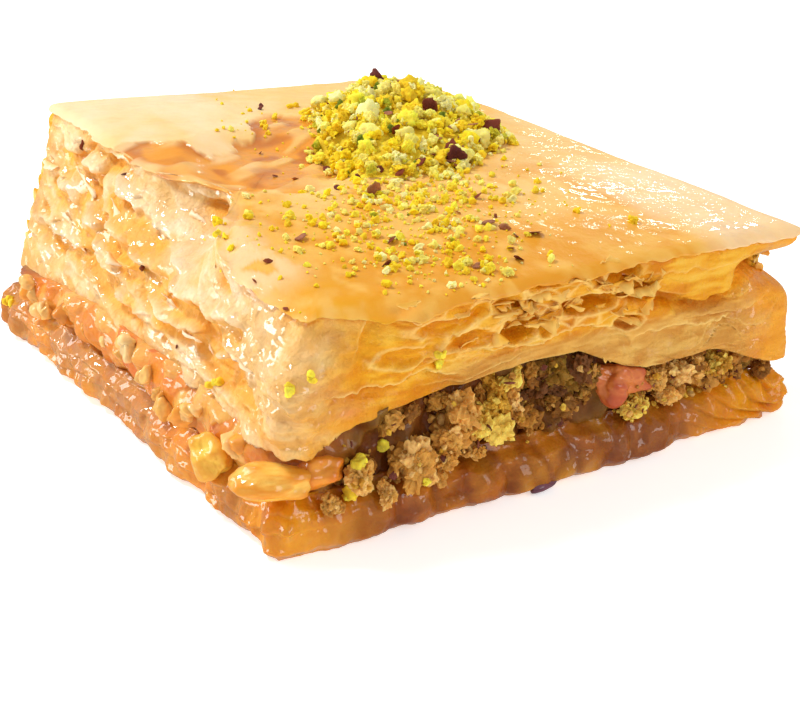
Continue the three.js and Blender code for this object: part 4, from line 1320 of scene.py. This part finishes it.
def make_nut_core():
    outline = plan_loop(NUT_CORE, 3.5)
    outward = outward_of(outline)
    x, y = outline.T
    loops, tints = [], []
    for share in np.linspace(0, 1, NUT_ROWS):
        relief = 0.8 * noise(x / 2.4, y / 2.4, share * 2.2, 801)
        relief = relief + 0.45 * noise(x / 1.0, y / 1.0, share * 5, 802)
        relief += 0.22 * noise(x / 0.5, y / 0.5, share * 9, 803)
        near, _, number = cells(x / 2.8, y / 2.8, share * 1.3 + 0.3 * relief, 805)
        lumps = 1.3 * (0.6 - near) * smooth(number * 1.6) + 0.25 * relief
        out = 0.7 + mix(relief, lumps, LEFTNESS) - 0.9 * LEFTNESS * (2 * share - 1) ** 2
        xy = outline + outward * out[:, None]
        height = mix(BASE_TOP - 0.2, underside(xy[:, 0], xy[:, 1]) + 0.3, share)
        loops.append(np.column_stack([xy, height]))
        # Painted shade: the core is darkest where its relief sinks in between the clumps
        tint = blend_colors(NUT_DARK, NUT_OLIVE[1], smooth(0.3 + 0.6 * relief))
        tint = blend_colors(tint, NUT_OLIVE[0], 0.6 * smooth(rough(x / 2, y / 2, share * 3, 804)))
        soaked = blend_colors(NUT_WET[2], NUT_WET[0], smooth(2.4 * (number - 0.5)) * smooth(1.5 - 1.2 * near))
        soaked = blend_colors(soaked, NUT_RED, smooth(2.4 * (0.4 - number)) * smooth((y + 16) / 12))
        tints.append(blend_colors(tint, soaked, LEFTNESS))
    wet = np.broadcast_to(0.2 + 0.7 * LEFTNESS, (len(loops), COUNT))
    piece = make_lofted("nut_core", np.array(loops), soaked_finish, np.array(tints), wet)
    finish_piece(piece, NUTS)


# Lumps pressed together in a clump
CLUMP_LUMPS = 4


def add_clumps(name, rows, colors, material, random, crumbs=9, detail=4, bumpiness=0.36):
    """One piece of crumbly clumps: each a few angular lumps pressed together, with crumbs on them."""
    middles = np.array([row[:3] for row in rows])
    reaches = np.array([row[3] for row in rows])
    owners = np.repeat(np.arange(len(rows)), CLUMP_LUMPS)
    places = middles[owners] + random.uniform(-0.5, 0.5, (len(owners), 3)) * reaches[owners, None]
    sizes = reaches[owners] * random.uniform(0.55, 0.95, len(owners))
    add_chunks(f"{name}_lumps", places, sizes, colors, material, NUTS, random, detail=detail,
               flat=material == nut_finish, cuts=CUTS, bumpiness=bumpiness, grain=3.0, seed=815)
    if crumbs == 0:
        return
    owners = np.repeat(np.arange(len(places)), crumbs)
    ways = random.normal(size=(len(owners), 3))
    out = random.uniform(0.55, 0.85, len(owners)) * sizes[owners]
    ways *= (out / np.linalg.norm(ways, axis=1))[:, None]
    add_chunks(f"{name}_crumbs", places[owners] + ways, random.uniform(0.16, 0.5, len(owners)), colors,
               material, NUTS, random, flat=True, detail=1, cuts=CUTS, bumpiness=0.4, seed=816)


# Where the camera stands: its directions, its distance in millimetres and the point it looks at
CAMERA_AZIMUTH = np.radians(-30.31)
CAMERA_ELEVATION = np.radians(24.44)
CAMERA_DISTANCE = 116.72
CAMERA_TARGET = Vector((-7.83, -19.98, 10.0))
BACK_WAY = Vector((np.sin(CAMERA_AZIMUTH) * np.cos(CAMERA_ELEVATION),
                   -np.cos(CAMERA_AZIMUTH) * np.cos(CAMERA_ELEVATION), np.sin(CAMERA_ELEVATION)))
CAMERA_PLACE = (CAMERA_TARGET + BACK_WAY * CAMERA_DISTANCE) * MM


def seated(places, sizes, carriers, proud=0.0):
    """Places moved along the line of sight onto the carriers, standing proud by a share of each size."""
    graph = bpy.context.evaluated_depsgraph_get()
    trees = [BVHTree.FromObject(carrier, graph) for carrier in carriers]
    moved = []
    for place, size in zip(places, sizes):
        way = (Vector(place) * MM - CAMERA_PLACE).normalized()
        hits = [tree.ray_cast(CAMERA_PLACE, way) for tree in trees]
        reach = min((hit[3] for hit in hits if hit[0] is not None),
                    default=(Vector(place) * MM - CAMERA_PLACE).length)
        moved.append((CAMERA_PLACE + way * (reach - proud * size * MM)) / MM)
    return np.array(moved)


def pieces_named(starts):
    return [piece for piece in bpy.data.objects if piece.name.startswith(starts)]


# What carries the small pieces of the nut band, and those on the cut sides
BAND_CARRIERS = ("soaked_base", "nut_core", "nut_tan_", "nut_yellow_", "nut_olive_", "nut_brown_")
SIDE_CARRIERS = BAND_CARRIERS + ("nut_wet_", "kernel_", "pastry_body", "crust_sheet", "leaves_")


# Clumps in each row of the near cut side, and the loose grains and skins on them
ROW_CLUMPS = 20
GRAINS = 70
SKINS = 26
# Two skins that stand alone: their places and sizes
SINGLE_SKINS = [(-3.1, -29.0, 10.4), (24.6, -28.4, 7.4)]
SINGLE_SIZES = (0.8, 0.8)


def spread_along(random, first, last, count):
    """Places along a side, one at random in each of equal stretches."""
    return mix(first, last, (np.arange(count) + random.uniform(0, 1, count)) / count)


def make_nuts():
    random = np.random.default_rng(821)
    for kind, (colors, rows) in FRONT_CLUMPS.items():
        add_clumps(f"nut_{kind}", rows, colors, nut_finish, random)
    for row, share in (("low", 0.3), ("high", 0.72)):
        along = spread_along(random, 0.17, 0.93, ROW_CLUMPS)
        inset = random.uniform(2.3, 3.0, ROW_CLUMPS)
        places = band_place(FRONT, along, inset, share + random.uniform(-0.1, 0.1, ROW_CLUMPS))
        rows = np.column_stack([places, random.uniform(0.9, 1.5, ROW_CLUMPS)])
        add_clumps(f"nut_brown_{row}", rows, NUT_BROWN, nut_finish, random, crumbs=5, detail=3)
    for name, side, count, inset, colors in (("nut_wet", LEFT, 10, (2.2, 3.4), NUT_WET),
                                             ("nut_right", RIGHT, 18, (1.8, 3.4), NUT_TAN),
                                             ("nut_back", BACK, 17, (1.8, 3.4), NUT_TAN)):
        along = spread_along(random, 0.06, 0.93, count)
        places = band_place(side, along, random.uniform(*inset, count), random.uniform(0.25, 0.75, count))
        rows = np.column_stack([places, random.uniform(1.0, 2.0, count)])
        wet = side == LEFT
        add_clumps(name, rows, colors, kernel_finish if wet else nut_finish, random, crumbs=0 if wet else 4,
                   detail=3 if wet else 2, bumpiness=0.2 if wet else 0.32)
    along = np.concatenate([random.uniform(0.1, 0.88, GRAINS), random.uniform(0.1, 0.9, SKINS)])
    inset = random.uniform(0.6, 2.4, len(along))
    share = random.uniform(0.04, 0.9, len(along)) * np.where(inset < 1.3, 0.2, 1.0)
    sizes = random.uniform(0.18, 0.5, len(along))
    places = seated(band_place(FRONT, along, inset, share), sizes, pieces_named(BAND_CARRIERS))
    add_chunks("nut_grains", places[:GRAINS], sizes[:GRAINS], NUT_TAN + NUT_YELLOW, nut_finish, NUTS,
               random, flat=True, detail=2, bumpiness=0.35, seed=830)
    singles = seated(SINGLE_SKINS, SINGLE_SIZES, pieces_named(BAND_CARRIERS))
    add_chunks("nut_skins", np.concatenate([places[GRAINS:], singles]),
               np.append(sizes[GRAINS:] + 0.05, SINGLE_SIZES), NUT_SKIN, nut_finish, NUTS, random, detail=3,
               thinnest=(0.7, 0.5, 0.1), thickest=(1.0, 0.8, 0.2), bumpiness=0.25, seed=840)


def add_kernel(name, place, size, turn, colors, seed, dents=0.12, tilt=0.0, detail=5):
    """One whole or broken kernel: a lumpy oval lying at turn radians in plan, with soft dents."""
    sphere, faces = SPHERES[detail]
    taper = 1 - 0.22 * sphere[:, :1]
    shape = sphere * np.hstack([np.ones_like(taper), taper, taper])
    wide = noise(sphere[:, 0] * 1.6 + seed, sphere[:, 1] * 1.6, sphere[:, 2] * 1.6, seed)
    fine = noise(sphere[:, 0] * 5 + seed, sphere[:, 1] * 9, sphere[:, 2] * 9, seed + 1)
    shape = shape * (1 + dents * wide + 0.04 * fine)[:, None] * np.array(size)
    spin = Matrix.Rotation(turn, 3, "Z") @ Matrix.Rotation(tilt, 3, "Y")
    points = shape @ np.array(spin).T + np.array(place)
    tint = blend_colors(colors[0], colors[1], smooth(0.5 + 0.7 * wide + 0.4 * fine))
    finish_piece(make_object(name, points, faces, kernel_finish, tint), NUTS)


# Small yellow pieces: place and size of each
YELLOW_BITS = ((-17.0, -29.4, 7.6, 1.0), (-18.4, -30.1, 5.2, 0.9), (-11.4, -30.4, 4.6, 0.5),
               (-14.9, -28.9, 8.0, 0.8), (-22.3, -28.9, 14.5, 0.6), (-20.9, -29.4, 15.3, 0.5),
               (-23.9, -18.2, 10.9, 0.7), (-10.1, -29.5, 14.0, 0.6), (-10.0, -29.5, 14.7, 0.5),
               (-28.2, 27.5, 3.0, 0.9))
PALE_BITS = ((-27.2, 20.4, 7.0, 1.5), (-25.6, -2.0, 8.2, 1.6), (-27.6, 14.5, 6.4, 1.2),
             (-25.4, -6.2, 7.2, 1.4), (-24.6, -14.6, 6.9, 1.3))
FACE_SKINS = ((-23.5, -2.8, 15.7, 0.9), (-21.4, 17.8, 21.3, 0.8), (-20.8, 7.7, 20.9, 0.5),
              (-23.3, -9.0, 10.5, 0.5))


def make_kernels():
    glazed = (linear(252, 204, 98), linear(236, 156, 44))
    add_kernel("kernel_near", (-23.2, -27.3, 6.3), (3.2, 1.7, 1.5), np.radians(-30), glazed, 841, dents=0.2)
    add_kernel("kernel_amber", (-19.4, -28.2, 6.6), (1.8, 1.3, 1.3), 0.2,
               (linear(244, 164, 56), linear(226, 128, 34)), 842, dents=0.4, detail=4)
    add_kernel("kernel_left_half", (-24.8, -18.8, 4.9), (1.35, 1.85, 1.65), 0.3,
               (linear(250, 208, 82), linear(238, 172, 56)), 843, dents=0.4)
    add_kernel("kernel_pink", (8.5, -28.3, 7.6), (2.7, 1.6, 1.9), np.radians(-16),
               (linear(224, 132, 66), linear(190, 86, 46)), 844, dents=0.5, tilt=0.3)
    add_kernel("skin_front", (0.2, -30.0, 0.6), (1.35, 0.5, 0.42), np.radians(4),
               (linear(128, 76, 96), linear(92, 50, 70)), 845, dents=0.3, detail=3)
    carriers = pieces_named(SIDE_CARRIERS)
    random = np.random.default_rng(851)
    bright = [linear(255, 228, 72), linear(250, 210, 58)]
    pale = [linear(252, 216, 150), linear(246, 196, 112)]
    for name, rows, colors, lumps, finish in (("nut_bits_yellow", YELLOW_BITS, bright, 3, crumb_finish),
                                              ("nut_bits_pale", PALE_BITS, pale, 2, kernel_finish)):
        rows = np.repeat(np.array(rows), lumps, axis=0)
        places = rows[:, :3] + random.uniform(-0.5, 0.5, (len(rows), 3)) * rows[:, 3:]
        sizes = rows[:, 3] * random.uniform(0.55, 0.9, len(rows))
        add_chunks(name, seated(places, sizes, carriers, proud=0.3), sizes, colors, finish, NUTS,
                   random, detail=3, bumpiness=0.2, seed=852)
    places, sizes = np.array(FACE_SKINS)[:, :3], np.array(FACE_SKINS)[:, 3]
    add_chunks("nut_skins_left", seated(places, sizes, carriers), sizes, NUT_SKIN, nut_finish, NUTS,
               random, detail=3, thinnest=(0.12, 0.8, 0.3), thickest=(0.2, 1.0, 0.5), bumpiness=0.3,
               lean=0.2, seed=853)


# Ground pistachio: a heap on the crust and crumbs scattered in front of it

CRUMB_YELLOW = palette((255, 230, 70), (254, 218, 40), (255, 238, 116), (250, 210, 46))
CRUMB_PALE = palette((255, 244, 160), (255, 238, 130))
CRUMB_GREEN = palette((214, 206, 60), (176, 178, 44), (112, 128, 36))
CRUMB_SKIN = palette((124, 58, 44), (98, 48, 46), (160, 104, 76))


def heap_edge(angle):
    """How far the heap's uneven outline lies from its middle, as a share of an oval's."""
    return 1 + 0.08 * np.sin(3 * angle + 0.6) + 0.05 * np.sin(7 * angle + 2.0)


def heap_reach(x, y):
    """Distance from the middle of the heap as a share of its outline."""
    dx, dy = x - HEAP["x"], y - HEAP["y"]
    across = dx * np.cos(HEAP["turn"]) + dy * np.sin(HEAP["turn"])
    deep = -dx * np.sin(HEAP["turn"]) + dy * np.cos(HEAP["turn"])
    across, deep = across / HEAP["reach_x"], deep / HEAP["reach_y"]
    return np.hypot(across, deep) / heap_edge(np.arctan2(deep, across))


def heap_height(x, y):
    mound = np.clip(1 - heap_reach(x, y) ** 2, 0, None) ** 0.7
    peak = 0.45 + 0.55 * bell(np.hypot(x - HEAP["peak_x"], y - HEAP["peak_y"]) / 8.5)
    return HEAP["height"] * mound * peak * (0.92 + 0.16 * noise(x / 3.0, y / 3.0, 0.0, 901))


def heap_point(share, angle):
    """Place at a share of the way to the heap's outline."""
    across = share * np.cos(angle) * HEAP["reach_x"]
    deep = share * np.sin(angle) * HEAP["reach_y"]
    across, deep = across * heap_edge(angle), deep * heap_edge(angle)
    x = HEAP["x"] + across * np.cos(HEAP["turn"]) - deep * np.sin(HEAP["turn"])
    y = HEAP["y"] + across * np.sin(HEAP["turn"]) + deep * np.cos(HEAP["turn"])
    return x, y


HEAP_COLUMNS = 160
HEAP_RINGS = 30


def make_heap_core():
    angle = np.arange(HEAP_COLUMNS) / HEAP_COLUMNS * 2 * np.pi
    loops, tints = [], []
    top = [(share, True) for share in np.linspace(0.97, 0.06, HEAP_RINGS)]
    for share, is_top in [(0.4, False), (0.8, False)] + top:
        x, y = heap_point(share, angle)
        grainy = heap_height(x, y) - 0.45 + 0.35 * rough(x / 0.9, y / 0.9, 0.0, 902)
        height = crust_height(x, y) + (grainy if is_top else -0.2)
        loops.append(np.column_stack([x, y, height]))
        brightness = smooth(0.5 + 0.6 * rough(x, y, 0.0, 903))
        tints.append(blend_colors(CRUMB_YELLOW[3] * 0.8, CRUMB_YELLOW[0], brightness))
    piece = make_lofted("heap_core", np.array(loops), crumb_finish, np.array(tints))
    finish_piece(piece, PISTACHIO)


def heap_places(random, count, reach):
    return heap_point(np.sqrt(random.uniform(0, 1, count)) * reach, random.uniform(0, 2 * np.pi, count))


def scattered_places(random, groups):
    rows = []
    for x, y, spread_x, spread_y, count in groups:
        rows.append(np.column_stack([random.normal(x, spread_x, count), random.normal(y, spread_y, count)]))
    x, y = np.concatenate(rows).T
    inside = (y > FRONT_DEPTH) & (x > -20.5 + 0.1 * y) & (x < 26)
    return x[inside], y[inside]


def on_crust(x, y, sizes):
    return np.column_stack([x, y, crust_height(x, y) + heap_height(x, y) + 0.3 * sizes])


# Colours, number on the heap, and groups on the crust: middle, spreads and number of each
CRUMB_KINDS = {
    "crumbs_yellow": (CRUMB_YELLOW, 700, [
        (1, -11, 4, 3, 110), (-3, -18, 3.5, 5, 110), (-5, -25, 2.2, 1.6, 40), (-8, -14, 4, 5, 60),
        (4, -10, 4, 3, 40), (-4, 12, 2.5, 5, 40), (-12, -15, 3.5, 5, 90), (-8, -23, 3.5, 4, 110),
        (0, -14, 5, 4, 90), (-5, -18, 8, 6, 120)]),
    "crumbs_pale": (CRUMB_PALE, 240, [(-3, -17, 4, 6, 100), (0, -9, 4, 2, 40), (-9, -19, 4, 5, 60)]),
    "crumbs_green": (CRUMB_GREEN, 110, [(-1, -14, 4, 6, 12)]),
}


# Dark skins that lie alone on the crust, and those that stand out of the heap
CRUST_SKINS = ((-2.2, 18.4), (-1.6, 19.3), (-7.3, 0.1), (-7.1, 8.0), (-8.6, 1.6), (-20.4, -24.7),
               (-18.9, -18.6))
HEAP_SKINS = ((8.3, 12.4, 1.6), (7.7, 8.7, 1.2), (14.0, -0.3, 1.3), (-4.3, -9.6, 1.2), (6.1, -6.6, 1.4),
              (-1.7, 1.1, 1.1), (6.8, -4.3, 0.9), (10.4, -2.6, 0.9), (2.2, -6.0, 0.9), (3.3, -0.2, 0.8),
              (2.4, 4.7, 1.0), (8.9, 3.0, 1.1))


# Crumbs below the first size have the fewest faces, and those above the second the most
SMALL_CRUMB = 0.36
LARGE_CRUMB = 0.58
HEAP_LUMPS = 50
LOOSE_SKINS = 46


def make_crumbs():
    random = np.random.default_rng(911)
    for index, (name, (colors, count, groups)) in enumerate(CRUMB_KINDS.items()):
        x, y = heap_places(random, count, 1.05)
        around_x, around_y = scattered_places(random, groups)
        sizes = mix(0.2, 0.85, random.uniform(0, 1, len(x) + len(around_x)) ** 2.4)
        sizes[len(x):] *= 0.7
        places = on_crust(np.concatenate([x, around_x]), np.concatenate([y, around_y]), sizes)
        small = sizes < SMALL_CRUMB
        large = sizes > LARGE_CRUMB
        for chosen, suffix, detail in ((small, "small", 1), (~small & ~large, "middle", 2),
                                       (large, "large", 3)):
            add_chunks(f"{name}_{suffix}", places[chosen], sizes[chosen], colors, crumb_finish, PISTACHIO,
                       random, flat=True, detail=detail, cuts=CUTS, bumpiness=0.42, grain=2.4,
                       seed=920 + index)
    x, y = heap_places(random, HEAP_LUMPS, 0.9)
    sizes = random.uniform(0.7, 1.35, len(x))
    add_chunks("crumbs_chunky", on_crust(x, y, sizes * 0.4), sizes, CRUMB_YELLOW + CRUMB_PALE, crumb_finish,
               PISTACHIO, random, detail=3, cuts=CUTS, bumpiness=0.38, grain=3.0, seed=930)
    x, y = heap_places(random, LOOSE_SKINS, 1.05)
    around_x, around_y = scattered_places(random, [(-2, -20, 4, 5, 9), (-6, -16, 6, 6, 6)])
    single_x, single_y = np.array(CRUST_SKINS).T
    x, y = np.concatenate([x, around_x, single_x]), np.concatenate([y, around_y, single_y])
    sizes = random.uniform(0.35, 0.8, len(x))
    sizes[-len(CRUST_SKINS):] *= 0.65
    add_chunks("crumb_skins", on_crust(x, y, sizes), sizes, CRUMB_SKIN, crumb_finish, PISTACHIO, random,
               detail=2, thinnest=(0.8, 0.5, 0.07), thickest=(1.0, 0.8, 0.14), bumpiness=0.25, lean=0.25,
               seed=940)
    x, y, sizes = np.array(HEAP_SKINS).T
    add_chunks("heap_skins", on_crust(x, y, sizes), sizes, CRUMB_SKIN, crumb_finish, PISTACHIO, random,
               detail=3, thinnest=(0.8, 0.6, 0.1), thickest=(1.0, 0.9, 0.2), bumpiness=0.3, lean=0.8,
               seed=941)


make_base()
make_nut_core()
make_nuts()
make_body()
make_leaves()
make_crust()
make_kernels()
make_scraps()
make_heap_core()
make_crumbs()


# Camera
HALF_VIEW = np.radians(16.0)
SENSOR_WIDTH = 36.0

camera_data = bpy.data.cameras.new("camera")
camera_data.sensor_fit = "HORIZONTAL"
camera_data.sensor_width = SENSOR_WIDTH
camera_data.lens = SENSOR_WIDTH / 2 / np.tan(HALF_VIEW)
camera_data.clip_start = 0.005
camera_data.clip_end = 10.0
camera = bpy.data.objects.new("camera", camera_data)
bpy.context.collection.objects.link(camera)
right_way = Vector((np.cos(CAMERA_AZIMUTH), np.sin(CAMERA_AZIMUTH), 0.0))
up_way = BACK_WAY.cross(right_way)
turned = Matrix((right_way, up_way, BACK_WAY)).transposed().to_4x4()
camera.matrix_world = Matrix.Translation(CAMERA_PLACE) @ turned
bpy.context.scene.camera = camera


# Floor, world and lights
FLOOR_REACH = 3.0
floor_corners = [(x * FLOOR_REACH, y * FLOOR_REACH, 0) for x, y in ((-1, -1), (1, -1), (1, 1), (-1, 1))]
floor_mesh = bpy.data.meshes.new("floor")
floor_mesh.from_pydata(floor_corners, [], [(0, 1, 2, 3)])
floor = bpy.data.objects.new("floor", floor_mesh)
bpy.context.collection.objects.link(floor)
floor_material, _, _, floor_shader = material_nodes("floor_white")
set_inputs(floor_shader, {"Base Color": (0.95, 0.95, 0.95, 1), "Roughness": 0.9,
                          "Specular IOR Level": 0.1, "Emission Color": (1, 1, 1, 1),
                          "Emission Strength": 0.5})
floor_mesh.materials.append(floor_material)
floor.visible_glossy = False

world = bpy.data.worlds.new("studio")
world.use_nodes = True
set_inputs(world.node_tree.nodes["Background"], {"Color": (1.0, 0.99, 0.97, 1), "Strength": 0.4})
bpy.context.scene.world = world


def add_area_light(name, place_mm, aim_mm, size_mm, power):
    data = bpy.data.lights.new(name, "AREA")
    data.shape = "RECTANGLE"
    data.size, data.size_y = (side * MM for side in size_mm)
    data.energy = power
    light = bpy.data.objects.new(name, data)
    bpy.context.collection.objects.link(light)
    light.location = Vector(place_mm) * MM
    aim = (Vector(aim_mm) - Vector(place_mm)).normalized()
    light.rotation_euler = aim.to_track_quat("-Z", "Y").to_euler()


add_area_light("key", (-150, 150, 370), (0, 0, 12), (80, 80), 1.12)
add_area_light("rear", (330, 312, 166), (15, -5, 18), (90, 26), 0.2)
add_area_light("side", (-230, 170, 110), (-20, 0, 10), (130, 130), 0.32)
add_area_light("fill", (150, -300, 220), (0, 0, 10), (250, 200), 0.45)

bpy.context.scene.view_settings.view_transform = "Standard"
